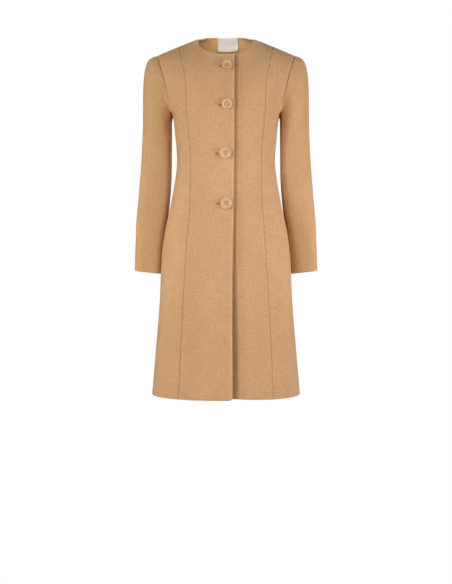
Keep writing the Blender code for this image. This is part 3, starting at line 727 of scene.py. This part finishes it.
# Backs
# Two panels of the coating with a seam down the centre back, from the neck and shoulders to the
# hem. The neck edge is rolled over to meet its facing.
BACK_WIDTH = 0.24           # about how wide a back is, for spacing its columns


def back_across(share, up):
    start = trimmed("back", np.zeros_like(up), up, 1)
    end = trimmed("back", np.ones_like(up), up, -1)
    return start + (end - start) * share


back_neck_share = float(across_at("back", NECK_HALF, np.array(SHOULDER)))
back_shares = neck_and_shoulder(BACK_WIDTH, back_neck_share)
for name, right in (("back_left", False), ("back_right", True)):
    body_piece(name, "back", back_across, back_shares, plain_rows, back_neck_share, neck_turned=False,
               right=right)

# Sleeves
# Two-piece set-in sleeves of the same coating. The upper sleeve is eased into the armhole, so its
# head is full and round. The seams are pressed and the cuffs turned in.
ARMHOLE_GAP = 0.0001
CAP_SLOPE = 0.068           # fall of the sleeve head as it leaves the shoulder, as a share of its height
CAP_SQUARE_TOP = 4.5        # how square it turns down at the shoulder, and at the underarm
CAP_SQUARE_LOW = 2.2
CAP_ROWS = 44
CAP_CROWDING = 1.7          # crowds the rows towards the armhole
FRONT_SEAM_ANGLE = 160      # the two seams, from the outer side by the front
BACK_SEAM_ANGLE = 248
ANGLE_STEP = 0.01
ARM_GIRTH = 0.30            # about how far it is round a sleeve, for spacing its columns
ARM_RADIUS = 0.048          # for measuring creases round a sleeve
ARM_BACK_ROUNDNESS = 2.3
ARMHOLE_STEPS = 1500
Ring = namedtuple("Ring", "down x_centre y_centre half_width half_depth tilt roundness")
ARM = [
    Ring(0.225, 0.1919, 0.006, 0.0408, 0.054, 0.00, 2.5),      # upper arm
    Ring(0.300, 0.1936, 0.009, 0.0419, 0.050, 0.02, 4.0),
    Ring(0.350, 0.1956, 0.014, 0.0433, 0.049, 0.03, 4.5),
    Ring(0.400, 0.1992, 0.022, 0.0442, 0.048, 0.04, 4.5),      # elbow
    Ring(0.450, 0.2043, 0.032, 0.0443, 0.047, 0.06, 4.2),
    Ring(0.500, 0.2107, 0.042, 0.0427, 0.046, 0.07, 3.8),
    Ring(0.540, 0.2141, 0.048, 0.0411, 0.045, 0.08, 3.6),
    Ring(0.600, 0.2181, 0.053, 0.0396, 0.044, 0.10, 3.4),
    Ring(0.631, 0.2198, 0.054, 0.0388, 0.043, 0.11, 3.4),      # cuff
]
# Creases round a sleeve: height, angle from the outer side by the front, lean, half length, width
# and depth. The two sleeves crease a little differently.
SleeveCrease = namedtuple("SleeveCrease", "z angle lean length width depth")
SLEEVE_CREASES = {
    False: [
        SleeveCrease(-0.372, 122, 14, 0.040, 0.008, 0.0012),
        SleeveCrease(-0.398, 108, -8, 0.046, 0.009, 0.0014),
        SleeveCrease(-0.428, 128, -20, 0.034, 0.008, 0.0009),
        SleeveCrease(-0.212, 150, 38, 0.045, 0.009, 0.0012),
        SleeveCrease(-0.225, 225, -35, 0.050, 0.010, 0.0016),
        SleeveCrease(-0.392, 262, 10, 0.040, 0.010, 0.0010),
    ],
    True: [
        SleeveCrease(-0.366, 116, 10, 0.036, 0.008, 0.0010),
        SleeveCrease(-0.404, 124, -12, 0.044, 0.009, 0.0013),
        SleeveCrease(-0.205, 152, 42, 0.042, 0.009, 0.0011),
        SleeveCrease(-0.232, 218, -30, 0.052, 0.010, 0.0015),
        SleeveCrease(-0.410, 256, 14, 0.044, 0.010, 0.0011),
    ],
}


def armhole_curve(side):
    """The edge of the left armhole from the underarm to the shoulder, in even steps."""
    ups = np.linspace(UNDERARM, SHOULDER, ARMHOLE_STEPS)
    line = cloth_point(side, np.ones_like(ups), ups)
    along = np.append(0, np.cumsum(np.linalg.norm(np.diff(line, axis=0), axis=1)))
    return line, along / along[-1]


ARMHOLE = {side: armhole_curve(side) for side in ("front", "back")}


def armhole_at(angles):
    """Points round the left armhole, from the shoulder (0) by the front to the underarm (pi)."""
    turn = angles % (2 * pi)
    found = []
    for side, share in (("front", 1 - turn / pi), ("back", turn / pi - 1)):
        line, along = ARMHOLE[side]
        found.append(np.stack([np.interp(share, along, line[:, k]) for k in range(3)], axis=-1))
    return np.where((turn <= pi)[:, None], found[0], found[1])


def ring_points(down, angles):
    ring = row_at(ARM, np.full_like(angles, down))
    radius = reach(angles, np.where(np.sin(angles) > 0, ring.roundness, ARM_BACK_ROUNDNESS))
    x = ring.half_width * radius * np.cos(angles)
    y = ring.half_depth * radius * np.sin(angles)
    return np.stack([ring.x_centre + x, ring.y_centre - y, ring.tilt * x - ring.down], axis=-1)


def sleeve_points(angles):
    """Rings of points from the armhole to the cuff of the left sleeve."""
    loop = armhole_at(angles) + np.array([ARMHOLE_GAP, 0, 0])
    upper_arm = ring_points(ARM[0].down, angles)
    by_shoulder = np.maximum(np.cos(angles), 0) ** 2
    square = CAP_SQUARE_LOW + (CAP_SQUARE_TOP - CAP_SQUARE_LOW) * by_shoulder
    slope = CAP_SLOPE * by_shoulder
    rings = []
    for turn in pi / 2 * np.linspace(0, 1, CAP_ROWS) ** CAP_CROWDING:
        outwards = np.sin(turn) ** (2 / square)
        downwards = 1 - np.maximum(np.cos(turn), 0) ** (2 / square)
        falls = slope * outwards + (1 - slope) * downwards
        shares = np.stack([outwards, outwards, falls], axis=-1)
        rings.append(loop + (upper_arm - loop) * shares)
    arm = ARM[-1].down - ARM[0].down
    for share in places_along(arm)[len(EDGE_STEPS):]:
        rings.append(ring_points(ARM[0].down + share * arm, angles))
    return np.array(rings)


def sleeve_piece(name, first, last, right):
    """One of the two pieces of a sleeve, between two angles."""
    angles = np.radians(first + (last - first) * places_along(ARM_GIRTH * (last - first) / 360))
    points = sleeve_points(angles)
    around = sleeve_points(angles + ANGLE_STEP) - sleeve_points(angles - ANGLE_STEP)
    normals = unit(np.cross(around, np.gradient(points, axis=0)))
    to_start = lengths_along(points, 1)
    to_end = to_start[:, -1:] - to_start
    from_armhole = lengths_along(points, 0)
    to_cuff = from_armhole[-1:] - from_armhole
    to_long_seam = np.minimum(to_start, to_end)
    edge_way = unit(np.roll(points, -1, axis=1) - points)
    points[:, 0] += SEAM_GAP / 2 * edge_way[:, 0]
    points[:, -1] -= SEAM_GAP / 2 * edge_way[:, -2]

    sink = np.zeros_like(to_start)
    for crease in SLEEVE_CREASES[right]:
        turn = (np.degrees(angles) - crease.angle + 180) % 360 - 180
        sink += crease_sink(crease, np.radians(turn) * ARM_RADIUS, points[..., 2] - crease.z)
    to_seam = np.minimum(to_long_seam, from_armhole)
    outer, inner = shell_depths(sink, to_seam, to_long_seam, to_cuff, to_cuff)
    flat, area = cut_sizes(points)
    if right:
        points = points * MIRROR
        normals = normals * MIRROR
    middle = len(angles) // 2
    cloth_map = np.stack([to_start - to_start[:, middle:middle + 1], from_armhole], axis=-1)
    piece = add_shell(name, points - outer * normals, points - inner * normals, cloth_map,
                      np.zeros_like(sink), wool)


for name, right in (("left", False), ("right", True)):
    sleeve_piece("sleeve_upper_" + name, BACK_SEAM_ANGLE - 360, FRONT_SEAM_ANGLE, right)
    sleeve_piece("sleeve_under_" + name, FRONT_SEAM_ANGLE, BACK_SEAM_ANGLE, right)

# Back neck facing
# A shaped piece of the same wool, sewn to the back neck edge and turned to the inside. Its colour is
# painted more golden than the coat's, for the warm shade inside the neck, and a little lighter for the
# light it lacks there. It runs from one shoulder seam to the other.
FACING = 0.0012             # thickness, pressed thin
FACING_ROLL = 0.00108       # radius of its upper edge
FACING_HEIGHT = 0.09        # about how high it is, for spacing its rows
LAID_ON_GAP = 0.0006        # under a piece that lies on another
FACING_FROM = 0.964         # up of the facing's lower edge at the shoulders
FACING_PROUD = 0.0012       # how far it is rolled over the neck edge
FACING_END = back_neck_share + (1 - back_neck_share) / 3


def facing_layers():
    """The facing's outer and inner face, from the right shoulder to the left one."""
    half = np.unique(np.append(back_neck_share * np.sin(np.linspace(0, pi / 2, 40)),
                               np.linspace(back_neck_share, FACING_END, 10)))
    tops = column_tops("back", back_across, half, back_neck_share)
    lows = squeezed(np.full_like(tops, FACING_FROM), tops)
    tops = tops + FACING_PROUD
    rows = places_along(FACING_HEIGHT)[:, None]
    up = lows + (tops - lows) * rows
    up = np.concatenate([up[:, :0:-1], up], axis=1)
    across = np.concatenate([-half[:0:-1], half]) * np.ones_like(up)
    points = cloth_point("back", across, up)
    normals = cloth_normal("back", across, up)
    to_top = away_from(points, points[-1])
    outer_depth = np.full_like(up, CLOTH + LAID_ON_GAP)
    inner_depth = outer_depth + FACING - rolled(to_top, FACING_ROLL)
    outer = points - outer_depth[..., None] * normals
    inner = points - inner_depth[..., None] * normals
    return outer, inner


# the facing's colour is painted: more golden for the shade inside the neck, lighter for the light it
# lacks there
facing_wool = make_cloth("facing_wool", deep=(186, 136, 80), pale=(236, 184, 120), yarn=0.0022,
                         mixture=0.5, sheen=0.2)
facing_outer, facing_inner = facing_layers()
facing_map = np.stack([lengths_along(facing_inner, 1), lengths_along(facing_inner, 0)], axis=-1)
facing = add_shell("neck_facing", facing_outer, facing_inner, facing_map,
                   np.zeros(facing_outer.shape[:2]), facing_wool)
flat, area = cut_sizes(facing_inner)

# Label
# A plain cream satin label, woven, with its ends folded under. It is sewn to the facing at the
# centre back with its top edge at the neck, its lower edge is free, and it carries no text.
LABEL = 0.001               # thickness
LABEL_ROLL = 0.0008         # radius of its folded edges
LABEL_WIDTH = 0.0585
LABEL_LENGTH = 0.0415
LABEL_LIFT = 0.0035         # how far its free lower edge stands off the facing
LABEL_FREE = 0.020          # height of the part that is not sewn down
LABEL_SHIFT = 0.0055        # how far it is sewn to the left of the centre
LABEL_DROP = 0.0002         # top of the label below the facing's edge


def sampled(grid, row_places, column_places):
    """Points of a grid at fractions of its rows and columns."""
    for places in (row_places, column_places):
        low = np.clip(np.floor(places).astype(int), 0, len(grid) - 2)
        share = (places - low)[:, None, None]
        grid = (grid[low] * (1 - share) + grid[low + 1] * share).swapaxes(0, 1)
    return grid


def make_satin():
    """Cream satin ribbon: fine level floats with a soft gleam."""
    material, tree, shader = new_material("label_satin")
    place = add_node(tree, "ShaderNodeUVMap", {}, uv_map="cloth")
    floats = add_noise(tree, place.outputs[0], (260, 2600, 1), "2D", Detail=3)
    colour = blend_colours(tree, floats, linear(200, 187, 176), linear(232, 222, 213))
    tree.links.new(colour, shader.inputs["Base Color"])
    add_relief(tree, shader, floats, strength=0.25, distance=0.0002)
    gleam = calculate(tree, "MULTIPLY_ADD", floats, 0.2, 0.4)
    tree.links.new(gleam, shader.inputs["Roughness"])
    return material


middle = facing_inner.shape[1] // 2
heights = lengths_along(facing_inner, 0)[:, middle]
label_shares = places_along(LABEL_LENGTH)
label_rows = heights[-1] - LABEL_DROP - LABEL_LENGTH * (1 - label_shares)
label_columns = LABEL_SHIFT + LABEL_WIDTH * (places_along(LABEL_WIDTH) - 0.5)
row_places = np.interp(label_rows, heights, np.arange(len(heights)))
facing_x = facing_inner[len(heights) // 2, :, 0]
column_places = np.interp(label_columns, facing_x, np.arange(len(facing_x)))
ways = sampled(unit(facing_inner - facing_outer), row_places, column_places)
lift = LAID_ON_GAP + LABEL_LIFT * ease(1 - LABEL_LENGTH * label_shares / LABEL_FREE)
label_base = sampled(facing_inner, row_places, column_places) + lift[:, None, None] * ways
label_top = label_base + LABEL * ways
label_map = np.stack([lengths_along(label_top, 1), lengths_along(label_top, 0)], axis=-1)
round_label = np.minimum.reduce([
    label_map[..., 0], label_map[:, -1:, 0] - label_map[..., 0],
    label_map[..., 1], label_map[-1:, :, 1] - label_map[..., 1]])
label_top = label_top + rolled(round_label, LABEL_ROLL)[..., None] * unit(label_base - label_top)
label = add_shell("label", label_base, label_top, label_map, np.zeros(label_top.shape[:2]),
                  make_satin())

# Buttonholes
# A level slit beside each button in the lapped front, worked round with close camel thread, its colour
# painted dark for the shade in and around the slit. The button hides its right end.
LIP = 0.0018                # length of a stitch
LIP_STEP = 0.00062          # from one stitch to the next
LIP_HALF = 0.00028          # half a stitch's width
LIP_RISE = 0.00045          # how far a stitch stands up from the cloth
StitchPoint = namedtuple("StitchPoint", "along rise")
STITCH = [StitchPoint(-0.10, -0.9), StitchPoint(0.04, 0.6), StitchPoint(0.35, 1.0),
          StitchPoint(0.75, 0.9), StitchPoint(1.0, -0.5)]
STITCH_SIDES = [(-1.0, -0.6), (-0.6, 0.75), (0.0, 1.0), (0.6, 0.75), (1.0, -0.6)]


def make_thread(name, deep, pale):
    """Twisted sewing thread."""
    material, tree, shader = new_material(name)
    place = add_node(tree, "ShaderNodeTexCoord", {})
    spots = add_noise(tree, place.outputs["Object"], (1500, 1500, 1500), "3D")
    colour = blend_colours(tree, spots, linear(*deep), linear(*pale))
    tree.links.new(colour, shader.inputs["Base Color"])
    add_relief(tree, shader, spots, strength=0.3, distance=0.0002)
    shader.inputs["Roughness"].default_value = 0.6
    return material


def stitch_places(slit_left):
    """Start of every stitch round a slit, and the way it points."""
    places = []
    for x in np.arange(slit_left, SLIT_RIGHT, LIP_STEP):
        for way in (1, -1):
            places.append((x, way * SLIT_HALF, 0, way))
    for end, way in ((slit_left, -1), (SLIT_RIGHT, 1)):
        for turn in np.radians(np.arange(-75, 80, 25)):
            out = (way * cos(turn), sin(turn))
            places.append((end + SLIT_HALF * out[0], SLIT_HALF * out[1], *out))
    return places


def buttonhole(number, button, material):
    """Every stitch round a slit, as one piece that lies on the lapped front."""
    points, faces = [], []
    columns = len(STITCH_SIDES)
    for x, rise, way_x, way_up in stitch_places(-button.slit_left):
        first = len(points)
        for step in STITCH:
            for sideways, lift in STITCH_SIDES:
                across = button.x + x + step.along * LIP * way_x - sideways * LIP_HALF * way_up
                above = rise + step.along * LIP * way_up + sideways * LIP_HALF * way_x
                height = LIP_RISE * (step.rise * max(lift, 0) + min(lift, 0))
                points.append((across, button.up - button.slit_drop + above, height))
        for i in range(len(STITCH) - 1):
            for j in range(columns - 1):
                one = first + i * columns + j
                faces.append((one, one + 1, one + 1 + columns, one + columns))
    x, ups, heights = np.array(points).T
    across = across_at("front", x, ups)
    place = cloth_point("front", across, ups) + heights[:, None] * cloth_normal("front", across, ups)
    mesh = bpy.data.meshes.new(f"buttonhole_{number}")
    mesh.from_pydata(place.tolist(), [], faces)
    mesh.shade_smooth()
    mesh.materials.append(material)
    piece = add_object(f"buttonhole_{number}", mesh)
    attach(piece, "root")


# the stitches' dark colour is painted shade for the slit
slit_shade_thread = make_thread("buttonhole_thread_painted_shade", deep=(116, 76, 42), pale=(170, 122, 80))
for number, button in enumerate(BUTTONS, start=1):
    buttonhole(number, button, slit_shade_thread)

# Buttons
# Turned camel resin with a broad raised rim and a dished middle, sewn on through four holes with a
# cross of thread, on a short wound shank.
BUTTON_SIDES = 72
BUTTON_UNDER = 0.0021       # underside above the cloth
BUTTON_FLAT = 0.0119        # radius of the underside
BUTTON_STAND = 0.0014       # how far the shank holds it up from the nap
ProfilePoint = namedtuple("ProfilePoint", "radius height")
BUTTON_PROFILE = [
    ProfilePoint(0.0133, 0.0022),
    ProfilePoint(0.0143, 0.0027),
    ProfilePoint(0.0149, 0.0034),
    ProfilePoint(0.0150, 0.0040),
    ProfilePoint(0.0148, 0.0046),
    ProfilePoint(0.0143, 0.0051),
    ProfilePoint(0.0134, 0.0054),
    ProfilePoint(0.0124, 0.0055),       # top of the rim
    ProfilePoint(0.0112, 0.0054),
    ProfilePoint(0.0101, 0.0051),
    ProfilePoint(0.0093, 0.0045),
    ProfilePoint(0.0087, 0.0037),
    ProfilePoint(0.0079, 0.0032),       # dished middle
    ProfilePoint(0.0052, 0.0031),
]
HOLE_RADIUS = 0.0017
HOLE_SPREAD = 0.0039        # from the button's centre to a hole's centre
HOLE_SIDES = 20
DRILL_LENGTH = 0.012
THREAD = 0.00030            # radius of the sewing thread
THREAD_STRANDS = (-0.00045, 0.00045)
THREAD_RISE = 0.0044        # top of the cross
SHANK_RADIUS = 0.0012
SHANK_TURNS = 6
SHANK_FROM = -0.0012
SHANK_TO = 0.0019


def make_resin():
    """Camel resin with faint cloudy grain and a satin finish."""
    material, tree, shader = new_material("button_resin")
    place = add_node(tree, "ShaderNodeTexCoord", {})
    grain = add_noise(tree, place.outputs["Object"], (120, 120, 420), "3D", Detail=4, Distortion=0.6)
    colour = blend_colours(tree, grain, linear(192, 148, 104), linear(228, 188, 142))
    tree.links.new(colour, shader.inputs["Base Color"])
    rough = calculate(tree, "MULTIPLY_ADD", grain, 0.2, 0.32)
    tree.links.new(rough, shader.inputs["Roughness"])
    fine = add_noise(tree, place.outputs["Object"], (900, 900, 900), "3D")
    add_relief(tree, shader, fine, strength=0.1, distance=0.0002)
    return material


def turn_button():
    """One button, turned from a round blank, with its face to +Z."""
    bpy.ops.object.select_all(action="DESELECT")
    bpy.ops.mesh.primitive_circle_add(vertices=BUTTON_SIDES, radius=BUTTON_FLAT, fill_type="NGON",
                                      location=(0, 0, BUTTON_UNDER))
    blank = bpy.context.object
    bpy.ops.object.transform_apply(location=True)
    bpy.ops.object.mode_set(mode="EDIT")
    bpy.ops.mesh.select_mode(type="FACE")
    bpy.ops.mesh.select_all(action="SELECT")
    radius, height = BUTTON_FLAT, BUTTON_UNDER
    for point in BUTTON_PROFILE:
        rise = (0, 0, point.height - height)
        bpy.ops.mesh.extrude_region_move(TRANSFORM_OT_translate={"value": rise})
        grow = point.radius / radius
        bpy.ops.transform.resize(value=(grow, grow, 1), center_override=(0, 0, point.height))
        radius, height = point.radius, point.height
    bpy.ops.mesh.select_all(action="DESELECT")
    bpy.ops.mesh.select_mode(type="EDGE")
    bpy.ops.mesh.select_non_manifold()
    bpy.ops.mesh.edge_face_add()
    bpy.ops.mesh.select_all(action="SELECT")
    bpy.ops.mesh.normals_make_consistent(inside=False)
    bpy.ops.object.mode_set(mode="OBJECT")
    return blank


def drill(blank):
    """Four sewing holes through the dished middle."""
    bpy.ops.object.select_all(action="DESELECT")
    drills = []
    for number in range(4):
        angle = pi / 4 + number * pi / 2
        place = (HOLE_SPREAD * cos(angle), HOLE_SPREAD * sin(angle), BUTTON_UNDER)
        bpy.ops.mesh.primitive_cylinder_add(vertices=HOLE_SIDES, radius=HOLE_RADIUS,
                                            depth=DRILL_LENGTH, location=place)
        drills.append(bpy.context.object)
    for one in drills:
        one.select_set(True)
    bpy.ops.object.join()
    cutter = bpy.context.object
    cut = blank.modifiers.new("holes", "BOOLEAN")
    cut.operation = "DIFFERENCE"
    cut.solver = "EXACT"
    cut.object = cutter
    bpy.ops.object.select_all(action="DESELECT")
    bpy.context.view_layer.objects.active = blank
    blank.select_set(True)
    bpy.ops.object.modifier_apply(modifier=cut.name)
    bpy.data.objects.remove(cutter)
    bpy.ops.object.shade_smooth_by_angle(angle=radians(35))


def strand(points, radius):
    """A length of thread through points, as a mesh tube."""
    curve = bpy.data.curves.new("strand", "CURVE")
    curve.dimensions = "3D"
    curve.bevel_depth = radius
    curve.bevel_resolution = 3
    line = curve.splines.new("NURBS")
    line.points.add(len(points) - 1)
    for spot, point in zip(line.points, points):
        spot.co = (*point, 1)
    line.use_endpoint_u = True
    line.order_u = 3
    return add_object("strand", curve)


def sew_cross():
    """The cross of thread over the dish, and the wound shank under the button."""
    bpy.ops.object.select_all(action="DESELECT")
    strands = []
    for number in range(2):
        angle = pi / 4 + number * pi / 2
        way = Vector((cos(angle), sin(angle), 0))
        beside = Vector((-sin(angle), cos(angle), 0))
        top = THREAD_RISE + number * 2 * THREAD
        for shift in THREAD_STRANDS:
            points = []
            for share, height in ((-1, 0.0022), (-0.98, 0.0036), (-0.7, top - 0.0004), (0, top),
                                  (0.7, top - 0.0004), (0.98, 0.0036), (1, 0.0022)):
                points.append(share * HOLE_SPREAD * way + shift * beside + Vector((0, 0, height)))
            strands.append(strand(points, THREAD))
    turns = np.linspace(0, SHANK_TURNS * 2 * pi, 20 * SHANK_TURNS)
    rises = np.linspace(SHANK_FROM, SHANK_TO, len(turns))
    shank = np.stack([SHANK_RADIUS * np.cos(turns), SHANK_RADIUS * np.sin(turns), rises], axis=-1)
    strands.append(strand(shank, THREAD))
    for one in strands:
        one.select_set(True)
    bpy.context.view_layer.objects.active = strands[0]
    bpy.ops.object.convert(target="MESH")
    bpy.ops.object.join()
    bpy.ops.object.shade_smooth()
    return bpy.context.object


turned = turn_button()
drill(turned)
cross = sew_cross()
turned.data.materials.append(make_resin())
cross.data.materials.append(make_thread("button_thread", deep=(206, 168, 126), pale=(240, 214, 180)))
for number, button in enumerate(BUTTONS, start=1):
    up = np.array([button.up])
    across = across_at("front", np.array([button.x]), up)
    normal = Vector(cloth_normal("front", across, up)[0])
    seat = Vector(cloth_point("front", across, up)[0]) + BUTTON_STAND * normal
    grow = button.radius / BUTTON_PROFILE[3].radius
    stand = Matrix.Translation(seat) @ normal.to_track_quat("Z", "Y").to_matrix().to_4x4()
    for source, name in ((turned, f"button_resin_{number}"), (cross, f"button_thread_{number}")):
        mesh = source.data.copy()
        mesh.transform(stand @ Matrix.Diagonal((grow, grow, 1, 1)))
        piece = add_object(name, mesh)
        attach(piece, "root")
        if source is turned:
            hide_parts(f"button_{number}")
for source in (turned, cross):
    bpy.data.objects.remove(source)

# Studio
# A white floor at the height a wearer would stand on and a white surround, dimmer overhead. Soft
# lights stand on the left, in front, far to the right and behind. Narrow ones reach into the neck
# and onto the sleeves.
FLOOR_Z = -1.42
FLOOR_SIZE = 12.0
SOFT_SPREAD = radians(70)
NARROW_BLEND = 0.9
NARROW_RADIUS = 0.04


def add_light(name, kind, place, target, power):
    """A light at a place, aimed at a target."""
    lamp = bpy.data.lights.new(name, kind)
    lamp.energy = power
    light = add_object(name, lamp)
    light.location = place
    light.rotation_euler = (Vector(target) - Vector(place)).to_track_quat("-Z", "Y").to_euler()
    return lamp


bpy.ops.object.select_all(action="DESELECT")
bpy.ops.mesh.primitive_plane_add(size=FLOOR_SIZE, location=(0, 0, FLOOR_Z))
floor = bpy.context.object
floor.name = "floor"
white, tree, floor_shader = new_material("studio_white")
floor_shader.inputs["Base Color"].default_value = (0.8, 0.8, 0.8, 1)
floor_shader.inputs["Roughness"].default_value = 1.0
glow = add_node(tree, "ShaderNodeEmission", {"Color": (1, 1, 1, 1), "Strength": 1.0})
path = add_node(tree, "ShaderNodeLightPath", {})
mix = add_node(tree, "ShaderNodeMixShader", {0: path.outputs["Is Camera Ray"],
                                             1: floor_shader.outputs[0], 2: glow.outputs[0]})
tree.links.new(mix.outputs[0], tree.nodes["Material Output"].inputs["Surface"])
floor.data.materials.append(white)

for name, place, target, width, power in (
        ("key", (-2.1, -1.8, 0.10), (0, 0, -0.64), 0.7, 6.2),
        ("front", (-1.9, -3.6, 0.10), (0, 0, -0.62), 0.4, 4.5),
        ("edge", (2.5, -1.1, -0.40), (0.1, 0, -0.50), 0.8, 7.8),
        ("behind", (0.0, 2.8, -0.10), (0, 0, -0.52), 1.3, 9.0)):
    lamp = add_light(name, "AREA", place, target, power)
    lamp.size = width
    lamp.spread = SOFT_SPREAD

for side, neck_power, sleeve_power, inner_power in ((-1, 54, 14, 36), (1, 102, 17, 24)):
    for name, place, target, angle, power in (
            ("neck", (side * 0.85, -1.60, 0.64), (-side * 0.030, 0.06, 0.008), 5.0, neck_power),
            ("sleeve", (side * 1.3, -1.9, -0.80), (side * 0.235, 0.03, -0.56), 13, sleeve_power),
            ("inner sleeve", (-side * 1.3, -3.6, -0.20), (side * 0.180, 0, -0.29), 7.0, inner_power)):
        lamp = add_light(name, "SPOT", place, target, power)
        lamp.spot_size = radians(angle)
        lamp.spot_blend = NARROW_BLEND
        lamp.shadow_soft_size = NARROW_RADIUS

world = bpy.data.worlds.new("studio")
world.use_nodes = True
tree = world.node_tree
around = tree.nodes["Background"]
around.inputs["Color"].default_value = (1, 1, 1, 1)
ray = add_node(tree, "ShaderNodeNewGeometry", {})
heading = add_node(tree, "ShaderNodeSeparateXYZ", {0: ray.outputs["Position"]})
dimmer = add_node(tree, "ShaderNodeMapRange", {"Value": heading.outputs["Z"], "From Min": 0.0,
                                               "From Max": 0.9, "To Min": 0.37, "To Max": 0.21})
tree.links.new(dimmer.outputs["Result"], around.inputs["Strength"])
seen = add_node(tree, "ShaderNodeBackground", {"Color": (1, 1, 1, 1), "Strength": 1.0})
path = add_node(tree, "ShaderNodeLightPath", {})
mix = add_node(tree, "ShaderNodeMixShader", {0: path.outputs["Is Camera Ray"], 1: around.outputs[0],
                                             2: seen.outputs[0]})
tree.links.new(mix.outputs[0], tree.nodes["World Output"].inputs["Surface"])
bpy.context.scene.world = world
bpy.context.scene.view_settings.view_transform = "Standard"

# Camera
# Level, about halfway down the coat, as far off as a studio picture of a whole coat is taken. The
# shift leaves the picture's lower third empty.
CAMERA_DISTANCE = 4.0
CAMERA_Z = -0.45
SENSOR = 36.0
FRAME_HEIGHT = 584 * 0.0028     # metres from top to bottom of the picture at the coat's middle
FRAME_MIDDLE_Z = -0.6848
lens = bpy.data.cameras.new("camera")
lens.sensor_width = SENSOR
lens.lens = SENSOR * CAMERA_DISTANCE / FRAME_HEIGHT
lens.shift_y = (FRAME_MIDDLE_Z - CAMERA_Z) / FRAME_HEIGHT
camera = add_object("camera", lens)
camera.location = (0, -CAMERA_DISTANCE, CAMERA_Z)
camera.rotation_euler = (pi / 2, 0, 0)
bpy.context.scene.camera = camera
